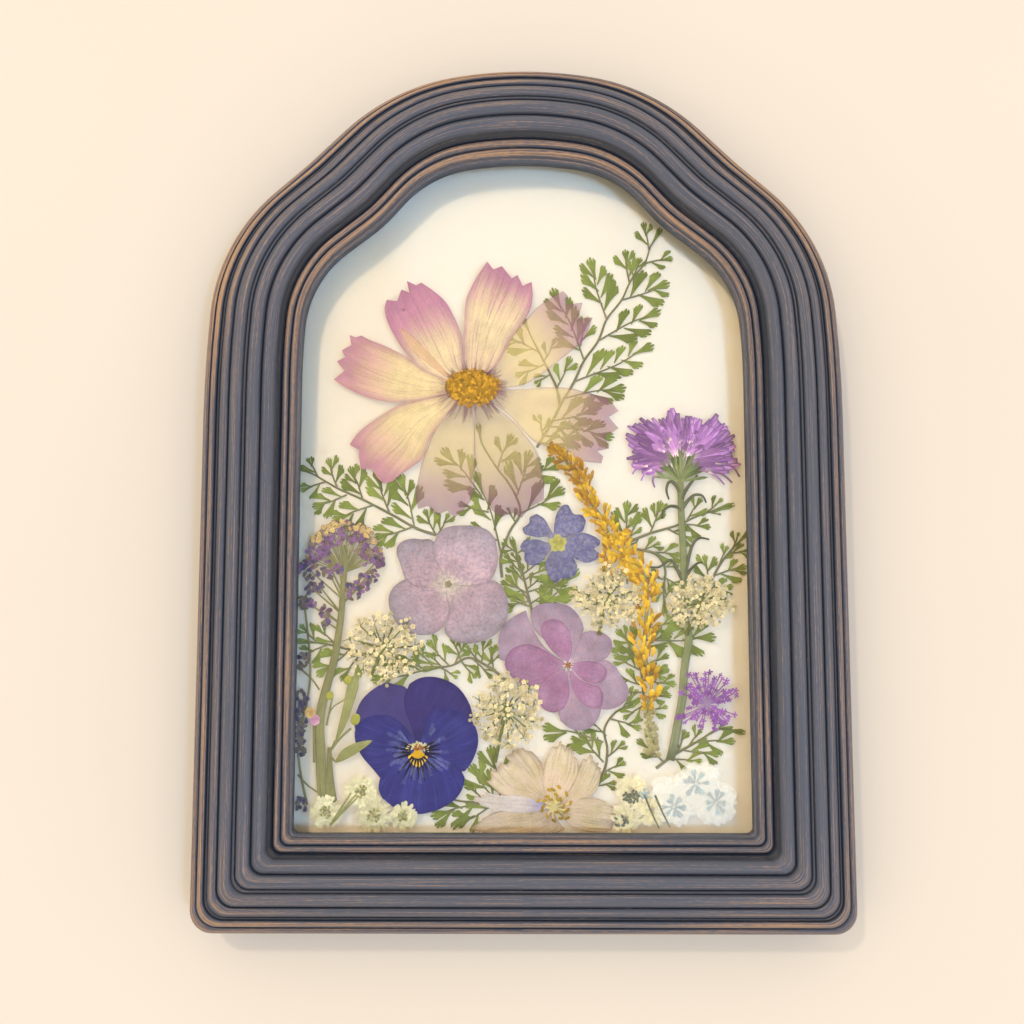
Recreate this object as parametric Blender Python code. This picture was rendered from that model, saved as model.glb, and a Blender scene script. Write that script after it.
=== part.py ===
"""Pressed flower frame: an arched picture frame with a reeded moulding, a sheet of glass,
and dried flowers, ferns and seed heads pressed flat on cream paper behind it.

The frame lies on its back: X across it, Y up it, Z out of the picture. Outlines are drawn in
millimetres on the sheet, x from the centre line and y from the frame's bottom edge.
"""

import math

import bmesh
import bpy
from mathutils import Vector
from mathutils.geometry import delaunay_2d_cdt

MM = 0.001
COLLECTION = "pressed_flower_frame"

# Touching pieces keep this much air. A corner flatter than this many degrees is left out.
GAP = 0.3
FLAT_CORNER = 3.0

# The frame's two outlines: straight sides, a shoulder, a hollow ogee, a haunch and a crown.
# Lengths are in mm and turns in degrees. The crown's radius follows from the rest.
OUTER = {
    "half_width": 66.0, "bottom": 0.0, "corner": 4.5, "spring": 103.2,
    "ease_radius": 289.0, "ease_turn": 4.35, "shoulder_radius": 38.8, "shoulder_turn": 44.5,
    "slope": 7.5, "ogee_radius": 56.8, "ogee_turn": 3.1, "rise": 9.1,
    "haunch_radius": 43.5, "haunch_turn": 34.3,
}
SIGHT = {
    "half_width": 45.6, "bottom": 19.6, "corner": 1.2, "spring": 111.1,
    "ease_radius": 126.6, "ease_turn": 5.2, "shoulder_radius": 21.9, "shoulder_turn": 47.1,
    "slope": 6.8, "ogee_radius": 30.0, "ogee_turn": 10.6, "rise": 3.9,
    "haunch_radius": 22.6, "haunch_turn": 38.9,
}
ARC_STEPS = {"corner": 3, "ease": 1, "shoulder": 5, "ogee": 2, "haunch": 4, "crown": 2}

# The moulding's section: how far in from the outer edge, and how high above the back.
MOULDING = 20.4
OUTER_SIDE = [(0.6, 0.0), (0.0, 0.6), (0.0, 10.1), (0.8, 11.5)]
GROOVES = [(1.6, 11.2), (4.1, 13.2), (6.5, 14.9), (10.4, 16.4), (13.4, 15.9), (16.6, 14.2),
           (17.8, 14.5), (19.0, 13.8), (20.1, 13.1)]
REED_RISE = [0.9, 0.8, 0.9, 1.0, 1.4, 0.5, 0.6, 0.7]
# A reed wider than this has a flat crest between two corners, and a narrow one has a ridge.
WIDE_REED = 2.8
LIP_TOP = 12.6
LIP_FOOT = 10.2
REBATE = 16.2

# What fills the rebate, from the glass down to the board.
GLASS_THICKNESS = 2.0
GLASS_TOP = LIP_FOOT - GAP
PAPER_TOP = 6.0
PAPER_THICKNESS = 0.4
BOARD_TOP = PAPER_TOP - PAPER_THICKNESS - GAP
BOARD_THICKNESS = 2.5
PANE_CLEARANCE = 0.4
POINT_THICKNESS = 0.4
POINT_WIDTH = 7.0
POINT_LENGTH = 9.0
FIRST_LAYER = 6.22
LAYER_PITCH = 0.34
FERN_THICKNESS = 0.1
PETAL_THICKNESS = 0.1

# Colours, as sRGB hex values.
SLATE = "575963"
CLEAR = "F2F6F4"
CREAM = "F1E5CE"
MILLBOARD = "8B7355"
STEEL = "A9AAA6"
FERN_GREEN = "7C8C32"


# ---------------------------------------------------------------- outlines

class Walk:
    """An outline drawn by straight runs and arcs that meet them without a corner."""

    def __init__(self, x, y, heading):
        self.points = [(x, y)]
        self.heading = heading

    def line(self, length):
        x, y = self.points[-1]
        angle = math.radians(self.heading)
        self.points.append((x + length * math.cos(angle), y + length * math.sin(angle)))

    def arc(self, radius, turn, steps):
        """Turns left by a positive angle and right by a negative one."""
        x, y = self.points[-1]
        side = math.copysign(1.0, turn)
        start = math.radians(self.heading)
        centre_x = x - side * radius * math.sin(start)
        centre_y = y + side * radius * math.cos(start)
        for step in range(1, steps + 1):
            angle = start + math.radians(turn) * step / steps
            self.points.append((centre_x + side * radius * math.sin(angle),
                                centre_y - side * radius * math.cos(angle)))
        self.heading += turn


def arch(inset):
    """The closed outline this far inside the frame's outer edge, counter-clockwise."""
    share = inset / MOULDING
    size = {key: OUTER[key] + (SIGHT[key] - OUTER[key]) * share for key in OUTER}
    walk = Walk(size["half_width"] - size["corner"], size["bottom"], 0.0)
    walk.arc(size["corner"], 90.0, ARC_STEPS["corner"])
    walk.line(size["spring"] - walk.points[-1][1])
    walk.arc(size["ease_radius"], size["ease_turn"], ARC_STEPS["ease"])
    walk.arc(size["shoulder_radius"], size["shoulder_turn"], ARC_STEPS["shoulder"])
    walk.line(size["slope"])
    walk.arc(size["ogee_radius"], -size["ogee_turn"], ARC_STEPS["ogee"])
    walk.line(size["rise"])
    walk.arc(size["haunch_radius"], size["haunch_turn"], ARC_STEPS["haunch"])
    crown_radius = walk.points[-1][0] / math.sin(math.radians(walk.heading))
    walk.arc(crown_radius, 180.0 - walk.heading, ARC_STEPS["crown"])
    right = walk.points
    left = [(-x, y) for x, y in reversed(right[:-1])]
    return right + left


HEIGHT = max(y for _, y in arch(0.0))


def toward(start, angle, distance):
    radians = math.radians(angle)
    return (start[0] + distance * math.cos(radians), start[1] + distance * math.sin(radians))


def rounded(points):
    """The points with one more between each pair, on a smooth curve through them all."""
    ends = [points[0]] + list(points) + [points[-1]]
    line = []
    for index in range(1, len(ends) - 2):
        before, here, there, after = (Vector(p) for p in ends[index - 1:index + 3])
        line += [tuple(here), tuple((9 * (here + there) - before - after) / 16)]
    return line + [tuple(points[-1])]


def strip(points, start_width, end_width):
    """A band along a line, which narrows or widens evenly from its start to its end."""
    line = [Vector(p) for p in points]
    left, right = [], []
    for index, point in enumerate(line):
        ahead = line[min(index + 1, len(line) - 1)] - line[max(index - 1, 0)]
        side = Vector((-ahead.y, ahead.x)).normalized()
        share = index / (len(line) - 1)
        half = (start_width + (end_width - start_width) * share) / 2
        left.append(tuple(point + side * half))
        right.append(tuple(point - side * half))
    return left + right[::-1]


def disc(centre, radius, sides, stretch=1.0):
    turn = 2 * math.pi / sides
    return [(centre[0] + radius * stretch * math.cos(i * turn),
             centre[1] + radius * math.sin(i * turn)) for i in range(sides)]


def oval(heart, tip, width, fullness=1.3, steps=5, notch=0.0):
    """A petal from the heart to its tip, widest past its middle, with a notch in its end."""
    start, along = Vector(heart), Vector(tip) - Vector(heart)
    side = Vector((-along.y, along.x)).normalized()
    shares = [math.sin(math.pi / 2 * i / steps) for i in range(steps)]
    halves = [math.sqrt(max(0.0, 1 - (2 * share ** fullness - 1) ** 2)) for share in shares]
    pairs = list(zip(shares, halves))[1:]
    left = [start + along * share + side * (width / 2 * half) for share, half in pairs]
    right = [start + along * share - side * (width / 2 * half) for share, half in pairs]
    end = start + along * (1 - notch)
    return [tuple(start)] + [tuple(p) for p in left] + [tuple(end)] + [tuple(p) for p in right[::-1]]


def blade(side_a, teeth, side_b):
    """A petal of a daisy kind: two curved sides and a row of teeth across its end."""
    return rounded(side_a) + list(teeth) + rounded(side_b)


def leaflet(base, angle, length):
    """A fern's wedge of leaf, from a point on its stalk to its blunt, slanting end."""
    return [base, toward(base, angle - LEAFLET_SPREAD, length),
            toward(base, angle + LEAFLET_SPREAD, length * 0.92)]


def burst(hub, tips, depth, blunt):
    """Blunt rays out to the tips, joined at this share of their length, as one outline."""
    outline = []
    middle = Vector(hub)
    for tip, following in zip(tips, tips[1:] + tips[:1]):
        end = Vector(tip)
        along = (end - middle).normalized()
        side = Vector((-along.y, along.x)) * blunt / 2
        valley = middle + ((end + Vector(following)) / 2 - middle) * depth
        outline += [tuple(end - side), tuple(end + side), tuple(valley)]
    return outline


# ---------------------------------------------------------------- solids

def clear_scene():
    for obj in list(bpy.data.objects):
        bpy.data.objects.remove(obj, do_unlink=True)


def collection(name):
    made = bpy.data.collections.new(name)
    bpy.context.scene.collection.children.link(made)
    return made


def linear(hex_colour):
    values = [int(hex_colour[i:i + 2], 16) / 255 for i in (0, 2, 4)]
    return [v / 12.92 if v <= 0.04045 else ((v + 0.055) / 1.055) ** 2.4 for v in values]


def material(name, hex_colour, roughness=0.8, metallic=0.0):
    made = bpy.data.materials.new(name)
    made.use_nodes = True
    shader = made.node_tree.nodes["Principled BSDF"]
    shader.inputs["Base Color"].default_value = (*linear(hex_colour), 1.0)
    shader.inputs["Roughness"].default_value = roughness
    shader.inputs["Metallic"].default_value = metallic
    return made


class Maker:
    """Keeps the collections and the empty that every piece is placed under."""

    def __init__(self):
        self.parts = collection(COLLECTION)
        self.cutters = collection(COLLECTION + "_cutters")
        self.sheet = bpy.data.objects.new("sheet", None)
        self.sheet.location = (0, -HEIGHT / 2 * MM, 0)
        self.parts.objects.link(self.sheet)

    def add(self, name, mesh, anchor, height, finish):
        obj = bpy.data.objects.new(name, mesh)
        obj.location = (anchor[0] * MM, anchor[1] * MM, height * MM)
        obj.parent = self.sheet
        mesh.materials.append(finish)
        self.parts.objects.link(obj)
        return obj

    def boss(self, base, centre, anchor, radii, rise):
        """Fuses a low boss, such as a flower's eye, with the piece that carries it."""
        bm = bmesh.new()
        bmesh.ops.create_cone(bm, cap_ends=True, segments=8, radius1=1.0, radius2=0.6, depth=1.0)
        bmesh.ops.translate(bm, verts=bm.verts, vec=(0, 0, 0.5))
        bmesh.ops.scale(bm, verts=bm.verts, vec=(radii[0] * MM, radii[1] * MM, rise * MM))
        mesh = bpy.data.meshes.new(base.name + "_boss")
        bm.to_mesh(mesh)
        bm.free()
        tool = bpy.data.objects.new(base.name + "_boss", mesh)
        tool.parent = base
        tool.location = ((centre[0] - anchor[0]) * MM, (centre[1] - anchor[1]) * MM,
                         PETAL_THICKNESS / 2 * MM)
        tool.hide_render = True
        tool.display_type = "WIRE"
        self.cutters.objects.link(tool)
        union = base.modifiers.new("boss", "BOOLEAN")
        union.operation = "UNION"
        union.object = tool


def merged_faces(outlines, anchor):
    """The outlines laid over each other as one flat bmesh, in metres around the anchor."""
    points, loops = [], []
    for outline in outlines:
        area = sum(a[0] * b[1] - b[0] * a[1] for a, b in zip(outline, outline[1:] + outline[:1]))
        ordered = outline if area > 0 else outline[::-1]
        loops.append(list(range(len(points), len(points) + len(ordered))))
        points += [Vector((x - anchor[0], y - anchor[1])) for x, y in ordered]
    coords, _, faces, _, _, owners = delaunay_2d_cdt(points, [], loops, 1, 1e-4)
    bm = bmesh.new()
    verts = [bm.verts.new((p.x * MM, p.y * MM, 0)) for p in coords]
    for face, owner in zip(faces, owners):
        if owner:
            bm.faces.new([verts[i] for i in face])
    bmesh.ops.delete(bm, geom=[v for v in bm.verts if not v.link_faces], context="VERTS")
    bmesh.ops.dissolve_limit(bm, angle_limit=math.radians(FLAT_CORNER), verts=bm.verts,
                             edges=bm.edges)
    return bm


def slab(outlines, anchor, thickness):
    """A flat piece of one thickness, its shape the union of the outlines."""
    bm = merged_faces(outlines, anchor)
    raised = bmesh.ops.extrude_face_region(bm, geom=bm.faces[:])["geom"]
    moved = [item for item in raised if isinstance(item, bmesh.types.BMVert)]
    bmesh.ops.translate(bm, verts=moved, vec=(0, 0, thickness * MM))
    bmesh.ops.recalc_face_normals(bm, faces=bm.faces)
    mesh = bpy.data.meshes.new("slab")
    bm.to_mesh(mesh)
    bm.free()
    return mesh


def layer_height(layer):
    return FIRST_LAYER + layer * LAYER_PITCH


def press(maker, name, layer, outlines, colour, thickness=PETAL_THICKNESS):
    """Lays a specimen in its layer between the paper and the glass."""
    anchor = outlines[0][0]
    finish = material(name, colour, roughness=0.85)
    mesh = slab(outlines, anchor, thickness)
    return maker.add(name, mesh, anchor, layer_height(layer), finish)


# ---------------------------------------------------------------- frame, glass and back

def moulding_section():
    """The section's points, from the back's outer edge over the reeds to the rebate."""
    section = list(OUTER_SIDE)
    for (start, low), (end, high), rise in zip(GROOVES, GROOVES[1:], REED_RISE):
        section.append((start, low))
        span = end - start
        shares = (0.3, 0.7) if span > WIDE_REED else (0.5,)
        section += [(start + span * s, low + (high - low) * s + rise) for s in shares]
    section += [GROOVES[-1], (MOULDING, LIP_TOP), (MOULDING, LIP_FOOT)]
    return section + [(REBATE, LIP_FOOT), (REBATE, 0.0)]


def build_frame(maker):
    """Lofts the section round the arch, from its outer outline to the sight edge."""
    bm = bmesh.new()
    rings = [[bm.verts.new((x * MM, y * MM, height * MM)) for x, y in arch(inset)]
             for inset, height in moulding_section()]
    count = len(rings[0])
    for ring, following in zip(rings, rings[1:] + rings[:1]):
        for i in range(count):
            j = (i + 1) % count
            bm.faces.new((ring[i], ring[j], following[j], following[i]))
    bmesh.ops.recalc_face_normals(bm, faces=bm.faces)
    mesh = bpy.data.meshes.new("frame")
    bm.to_mesh(mesh)
    bm.free()
    mesh.shade_smooth()
    mesh.set_sharp_from_angle(angle=math.radians(40))
    return maker.add("frame", mesh, (0, 0), 0, material("frame", SLATE, 0.55))


def build_pane(maker, name, top, thickness, finish):
    """A sheet cut to the rebate's shape: the glass, the paper or the board."""
    mesh = slab([arch(REBATE + PANE_CLEARANCE)], (0, 0), thickness)
    return maker.add(name, mesh, (0, 0), top - thickness, finish)


def build_back_points(maker):
    """Flat metal points that hold the board in, standing out of the rebate's wall."""
    finish = material("back_points", STEEL, 0.4, 1.0)
    wall = OUTER["half_width"] - REBATE
    places = [(-wall, 45.0, 0), (-wall, 100.0, 0), (wall, 45.0, 180), (wall, 100.0, 180),
              (-18.0, REBATE, 90), (18.0, REBATE, 90), (0.0, HEIGHT - REBATE - 0.5, 270)]
    height = BOARD_TOP - BOARD_THICKNESS - GAP - POINT_THICKNESS
    for number, (x, y, angle) in enumerate(places, start=1):
        root = toward((x, y), angle, GAP)
        tip = toward((x, y), angle, GAP + POINT_LENGTH)
        outline = strip([root, tip], POINT_WIDTH, POINT_WIDTH / 2)
        mesh = slab([outline], root, POINT_THICKNESS)
        maker.add(f"back_point_{number}", mesh, root, height, finish)


# ---------------------------------------------------------------- ferns

# Each spray: its layer, its stalk, and its side shoots as (x, y, tip x, tip y, leaflets).
FERNS = {
    "fern_top_right": (0, [(3, 97.5), (6, 102.5), (8, 106.5), (10.8, 111.3), (13, 116),
                           (16, 120.2), (17.8, 124.8), (21, 129), (23, 133.2), (26, 137),
                           (27.2, 140.5), (29.2, 144)],
                       [(6.5, 103.2, 16, 105.5, 4), (9, 108, 21.8, 110.2, 6),
                        (11.2, 111.6, 27.7, 119.3, 9), (16.2, 120.3, 29.2, 126.8, 7),
                        (21.2, 129, 31.2, 132.7, 5), (26, 136.9, 32, 138, 3),
                        (26.9, 139.5, 25.7, 146, 3), (22.7, 132.6, 21.8, 140, 4),
                        (23, 133.2, 25.2, 138.2, 2), (17.8, 124.8, 14.3, 138.2, 8),
                        (13, 116, 6.3, 131.6, 9), (12.2, 119, 13.9, 125.4, 2)]),
    "fern_upper_middle": (1, [(7.9, 106.2), (7.2, 110), (5.5, 113.8), (3.6, 117.6),
                              (1.8, 121.2), (0.3, 124.6)],
                          [(7.2, 110, 10.2, 116.8, 3), (5.9, 113, 2.4, 111, 2),
                           (4.6, 115.8, 7, 120.6, 2), (4.8, 115.2, -1.6, 112.5, 3),
                           (3.6, 117.6, -4.4, 121.5, 4)]),
    "fern_centre": (0, [(-4.2, 70.4), (-4.4, 75), (-2.6, 80), (-0.4, 84), (-2.2, 89),
                        (-5.5, 93.5), (-8.5, 98.5), (-9.2, 102)],
                    [(-0.6, 83.6, 8.9, 88.9, 4), (-1.4, 81.8, -3.2, 85, 2),
                     (-1.4, 86.8, 1.6, 97, 5), (-5.2, 93, -2.2, 100.5, 4),
                     (-4.4, 75.5, -9.8, 92.5, 6), (-7, 84, -13.5, 85.8, 3),
                     (-8.4, 87.2, -16.8, 97.5, 6), (0.2, 91.6, 8, 93.6, 3)]),
    "fern_left": (0, [(-17.8, 79.2), (-22, 80.6), (-27, 83.4), (-33, 86.5), (-38.5, 89),
                      (-43, 91.6), (-46.2, 93.2)],
                  [(-42.6, 91.4, -45, 95.4, 2), (-38.5, 89, -40.6, 95.4, 4),
                   (-33.2, 86.6, -36, 93.6, 5), (-27.6, 83.8, -30.6, 92.8, 6),
                   (-22.4, 80.8, -25.6, 92.2, 7), (-18, 79.3, -20.4, 84.6, 4),
                   (-41, 90.3, -46.2, 88.4, 3), (-36.5, 87.6, -43.7, 85, 5),
                   (-31, 85.4, -39.6, 82, 5), (-23, 80.8, -30.8, 78.6, 5),
                   (-17.6, 79.2, -15.2, 83.8, 2)]),
    "fern_left_low": (0, [(-31, 54.6), (-36, 55.8), (-41, 56.9), (-46.2, 57.4)],
                      [(-38, 56.2, -42.8, 60.6, 3), (-42, 57, -45.8, 60.8, 2),
                       (-40, 56.6, -45.4, 54.2, 2), (-35.4, 55.6, -42.2, 50.2, 4),
                       (-33, 55, -37.2, 49.2, 3)]),
    "fern_heart": (1, [(2.2, 61.5), (1.6, 65), (0.6, 69), (-0.4, 73), (-2.2, 78.2)],
                   [(-0.3, 72.6, -2.4, 75.6, 1), (0.4, 69.6, -2.6, 73, 2),
                    (1, 67.2, -4.6, 69.6, 3), (1.7, 64.4, -2.6, 66, 2),
                    (0.8, 68, 4.4, 71, 3), (1.6, 65, 6.2, 67.6, 3),
                    (2, 63, 11.6, 72.2, 6)]),
    "fern_low_heart": (1, [(-3.4, 49.5), (-7, 52.2), (-11, 54), (-14.6, 52.4), (-20.4, 51.6)],
                       [(-6, 51.6, -6.6, 56.4, 2), (-9, 53.4, -11.6, 56.6, 3),
                        (-12.6, 53.4, -14.6, 58.2, 3), (-15, 52.4, -19.6, 57.6, 4),
                        (-16.5, 52, -19, 54.6, 2), (-19, 51.8, -31, 49.4, 5)]),
    "fern_bottom": (0, [(-4.2, 24.6), (-8, 24.8), (-12.5, 25.2), (-16, 26)],
                    [(-8, 24.8, -18.6, 22.2, 4), (-6, 24.6, -13.4, 20.2, 4),
                     (-7.6, 24.9, -11, 28.4, 3), (-5, 24.8, -10.8, 32.6, 4),
                     (-4.4, 24.8, -6.6, 36.4, 4)]),
    "fern_low_right": (0, [(13.4, 27.4), (16.4, 31), (17.2, 35.5), (16.6, 39.6), (19, 43),
                           (22.6, 44.6)],
                       [(14, 28.2, 19, 29, 3), (16.2, 30.8, 21, 33, 3),
                        (17.1, 34, 20.8, 37.2, 3), (16.4, 33, 11.6, 39, 5),
                        (17, 38.2, 12.6, 42.2, 3), (18, 41.6, 24.2, 39.6, 3),
                        (16.4, 37, 4, 40.2, 4), (20.4, 43.8, 23.6, 47.6, 2)]),
    "fern_right_upper": (0, [(20.8, 77.2), (26, 79.4), (32, 81.2), (37, 83.4), (43.4, 85.4)],
                         [(20.9, 77.4, 21.8, 86.4, 5), (22, 78, 24, 82.6, 2),
                          (26.4, 79.6, 28.8, 86.4, 5), (34, 82, 37.2, 87, 3),
                          (38, 83.8, 41.6, 86.8, 1), (32.6, 81.4, 39, 80.8, 3),
                          (38.6, 84, 41.2, 83.4, 1), (24, 78.6, 22.6, 76, 1),
                          (30, 80.5, 35.6, 78, 3)]),
    "fern_right_middle": (1, [(23.6, 76.2), (27.6, 75.2), (29.4, 72), (29, 68), (29.2, 63)],
                          [(24.4, 76, 28.6, 77.6, 2), (26.6, 75.6, 32.6, 75, 4),
                           (29, 72.6, 32.4, 72.8, 2), (29, 70, 25.6, 71.2, 2),
                           (29.1, 66, 31, 69.4, 2)]),
    "fern_right_edge": (0, [(36, 66), (38.4, 69), (40.8, 73.2), (43.6, 76.6), (47, 80)],
                        [(38.2, 69, 37.6, 75.2, 4), (40.6, 73, 42.4, 77, 2),
                         (43.4, 76.4, 44.8, 79.8, 1), (39.6, 70.8, 46.2, 72.8, 4),
                         (42.4, 75.4, 46.8, 76, 2), (37, 67.4, 43.4, 68.6, 4)]),
    "fern_behind_goldenrod": (1, [(26.6, 36), (25.4, 42), (24.6, 47), (24.2, 53), (25.2, 58),
                                  (26.4, 62)],
                              [(25.2, 57.6, 39.6, 58.2, 7), (25.8, 59.8, 31.4, 61.4, 3),
                               (24.4, 54.6, 19.2, 59.8, 5), (24.3, 51.4, 18.6, 54.6, 3),
                               (24.4, 49.6, 31.4, 48.6, 4), (24.3, 52, 30, 54.6, 3),
                               (24.6, 47, 18.8, 46.8, 3), (25.2, 43, 29.6, 44.2, 3),
                               (25, 44.6, 20.4, 41.6, 3)]),
    "fern_bottom_right": (0, [(27, 31.8), (31, 34.6), (36, 37.4), (40, 39.6), (44.6, 39)],
                          [(31.4, 34.8, 33, 39.6, 2), (33.6, 36, 36.4, 39.6, 2),
                           (38, 38.6, 41.8, 41.2, 2), (35.4, 37, 43.2, 37.2, 2),
                           (32.6, 35.4, 40, 34.6, 3), (29.6, 33.6, 36.6, 33, 2),
                           (28.6, 33, 23.2, 37.6, 3)]),
}
MAIN_STALK = 0.8
SIDE_STALK = 0.55
SHOOT_TIP = 2.2
# Of so many leaflets one is drawn, at this angle to its stalk, opening by twice the spread.
LEAFLETS_EACH = 4
LEAFLET_LEAN = 38.0
LEAFLET_SPREAD = 17.0
LONGEST_LEAFLET = 4.8


def shoot(start, tip, leaflets):
    """A side shoot: a stalk that widens into its last leaflets, and the larger of the rest."""
    length = math.dist(start, tip)
    angle = math.degrees(math.atan2(tip[1] - start[1], tip[0] - start[0]))
    outlines = [strip([start, tip], SIDE_STALK, SHOOT_TIP)]
    for number in range(leaflets // LEAFLETS_EACH):
        side = 1 if number % 2 else -1
        base = toward(start, angle, length * (0.3 + 0.3 * number))
        reach = min(LONGEST_LEAFLET, length * 0.45)
        outlines.append(leaflet(base, angle + side * LEAFLET_LEAN, reach))
    return outlines


def build_ferns(maker):
    for name, (layer, stalk, shoots) in FERNS.items():
        outlines = [strip(stalk, MAIN_STALK, MAIN_STALK)]
        for x, y, tip_x, tip_y, leaflets in shoots:
            outlines += shoot((x, y), (tip_x, tip_y), leaflets)
        press(maker, name, layer, outlines, FERN_GREEN, FERN_THICKNESS)


# ---------------------------------------------------------------- large flowers

COSMOS_HEART = (-10.5, 110.4)
COSMOS_DISC = (6.2, 3.9)
# Each petal: one side from its root, the teeth across its end, and the other side back.
COSMOS_PETALS = [
    ([(-15, 109), (-24, 107.1), (-30, 107.6), (-35.5, 109.4)],
     [(-39.5, 111.8), (-37, 113.6), (-38.9, 115.6), (-37.3, 116.8), (-37.9, 118.2),
      (-36, 118.8), (-36.3, 121.3)],
     [(-33.8, 121.2), (-28, 119.6), (-22, 115.2), (-15, 111.5)]),
    ([(-15, 111.5), (-22, 116.4), (-27.5, 122.8), (-29, 127.2)],
     [(-28.7, 128.9), (-26.6, 128.9), (-25.6, 131.2), (-23.7, 130.1), (-24.5, 133.1),
      (-22.5, 131.9), (-21.5, 132.6)],
     [(-16.2, 128.9), (-13.2, 123.5), (-12.4, 118), (-12.6, 112.5)]),
    ([(-12.6, 112.5), (-12.5, 119), (-12.1, 128.5), (-10.2, 132.8)],
     [(-7.6, 137.1), (-6, 135.4), (-4.2, 136.1), (-2.2, 133.3), (-1, 134.2), (0.1, 131.8),
      (1.9, 132.9)],
     [(2.3, 129.5), (0.7, 123.8), (-3, 119.3), (-7, 112.5)]),
    ([(-8, 112.5), (-4, 118), (1.6, 125.4), (6, 129.3)],
     [(8.7, 130.7), (9.5, 129.6), (9.1, 127.8), (12.7, 128.1), (11.7, 124.7), (14.8, 125)],
     [(13.7, 121.3), (9, 116.3), (2, 111.9), (-6, 109.8)]),
    ([(-6, 109.2), (4, 110), (12, 109.4), (16.6, 107.8)],
     [(20, 105), (18, 103.8), (20.1, 101.6), (17.4, 100.2), (17.6, 97.4), (15.8, 97),
      (16.8, 94.6)],
     [(12, 94.8), (6, 97.9), (1, 102), (-6, 107.5)]),
    ([(-7, 108), (-1.5, 102.6), (3, 97), (4.6, 90.4)],
     [(4.5, 86.6), (2.4, 85), (0.2, 82.9), (-1.5, 84.4), (-4.2, 82.8), (-6.2, 85.2)],
     [(-7.6, 86.4), (-9.7, 93), (-9.8, 100), (-10, 107.5)]),
    ([(-9.5, 107.5), (-10, 99), (-10.8, 89.4), (-12.2, 85.6)],
     [(-13.5, 83.3), (-15.5, 84.6), (-17.2, 83), (-19, 85.3), (-21.7, 85.2)],
     [(-22.1, 88.4), (-20.5, 96), (-17.4, 102.6), (-13, 108)]),
    ([(-13, 108), (-18.4, 100.4), (-22.5, 94), (-26, 91.8)],
     [(-28.6, 89.9), (-30.2, 90.4), (-31, 92.6), (-33.6, 92.9), (-34.1, 96.2), (-36, 98)],
     [(-34.2, 100.8), (-30, 104), (-24, 107.4), (-15, 109.5)]),
]


def build_cosmos(maker):
    outlines = [disc(COSMOS_HEART, COSMOS_DISC[1], 10, 1.6)]
    outlines += [blade(*petal) for petal in COSMOS_PETALS]
    flower = press(maker, "cosmos", 2, outlines, "D9B4A6")
    maker.boss(flower, COSMOS_HEART, outlines[0][0], COSMOS_DISC, 0.5)


# Flowers of oval petals: heart, and each petal as (tip x, tip y, width).
HYDRANGEA_HEART = (-15.3, 69.0)
HYDRANGEA_SEPALS = [(-25.4, 76.8, 11.6), (-7.4, 80.8, 14), (-4.9, 58.8, 14.6),
                    (-25.8, 60.2, 12)]
DOUBLE_HEART = (8.9, 52.4)
DOUBLE_OUTER = [(5.6, 66.5, 10), (-4.8, 60.6, 8.5), (-4.2, 52.4, 9.2), (11.4, 39.5, 9),
                (21, 47, 11.6), (17.6, 60.2, 8.6), (4, 43.2, 6.6)]
DOUBLE_INNER = [(5.8, 62.2, 6.6), (17.2, 50.8, 4.6), (14.8, 44.2, 6.2), (4.2, 43.4, 6.2)]
VIOLA_HEART = (-21.4, 36.0)
VIOLA_PETALS = [(-31.8, 46.8, 15), (-13.6, 49.4, 15.4), (-35, 36.6, 12.6),
                (-9.3, 37.4, 13.2), (-20.6, 22.8, 17.6)]
VERBENA_HEART = (7.4, 77.4)
VERBENA_PETALS = [(1, 82.4, 6.4), (10.9, 85.1, 6.6), (16.5, 76.7, 6.4), (8.7, 69.2, 6.6),
                  (0, 74.2, 6.4)]
LARKSPUR_HEART = (5.5, 25.4)
LARKSPUR_PETALS = [(-3.4, 35.4, 8.6), (6.6, 38, 8.8), (14.8, 33.6, 8.8), (18.8, 23.4, 7),
                   (-8.6, 29.4, 7.6), (-11.4, 20.4, 7), (2, 18.9, 6), (12, 19, 7)]


def ovals(heart, petals, fullness, steps=5, notch=0.0):
    return [oval(heart, (x, y), width, fullness, steps, notch) for x, y, width in petals]


def build_hydrangea(maker):
    outlines = ovals(HYDRANGEA_HEART, HYDRANGEA_SEPALS, 1.35)
    outlines.append(disc(HYDRANGEA_HEART, 1.2, 6))
    flower = press(maker, "hydrangea_floret", 3, outlines, "BFA9B4")
    maker.boss(flower, HYDRANGEA_HEART, outlines[0][0], (0.9, 0.9), 0.35)


def build_double_floret(maker):
    outlines = ovals(DOUBLE_HEART, DOUBLE_OUTER, 1.35, 4)
    outlines += ovals(DOUBLE_HEART, DOUBLE_INNER, 1.2, 4)
    outlines.append(disc(DOUBLE_HEART, 1.4, 6))
    flower = press(maker, "double_floret", 2, outlines, "A678A0")
    maker.boss(flower, DOUBLE_HEART, outlines[0][0], (1.1, 1.1), 0.4)


def build_viola(maker):
    outlines = ovals(VIOLA_HEART, VIOLA_PETALS, 1.4)
    flower = press(maker, "viola", 2, outlines, "3D3470")
    maker.boss(flower, (-21.3, 35), outlines[0][0], (2.2, 2.4), 0.3)


def build_verbena(maker):
    outlines = ovals(VERBENA_HEART, VERBENA_PETALS, 1.9, 4, notch=0.14)
    outlines.append(disc(VERBENA_HEART, 1.8, 8))
    flower = press(maker, "verbena", 2, outlines, "6E6AA3")
    maker.boss(flower, VERBENA_HEART, outlines[0][0], (1.5, 1.5), 0.35)


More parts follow.
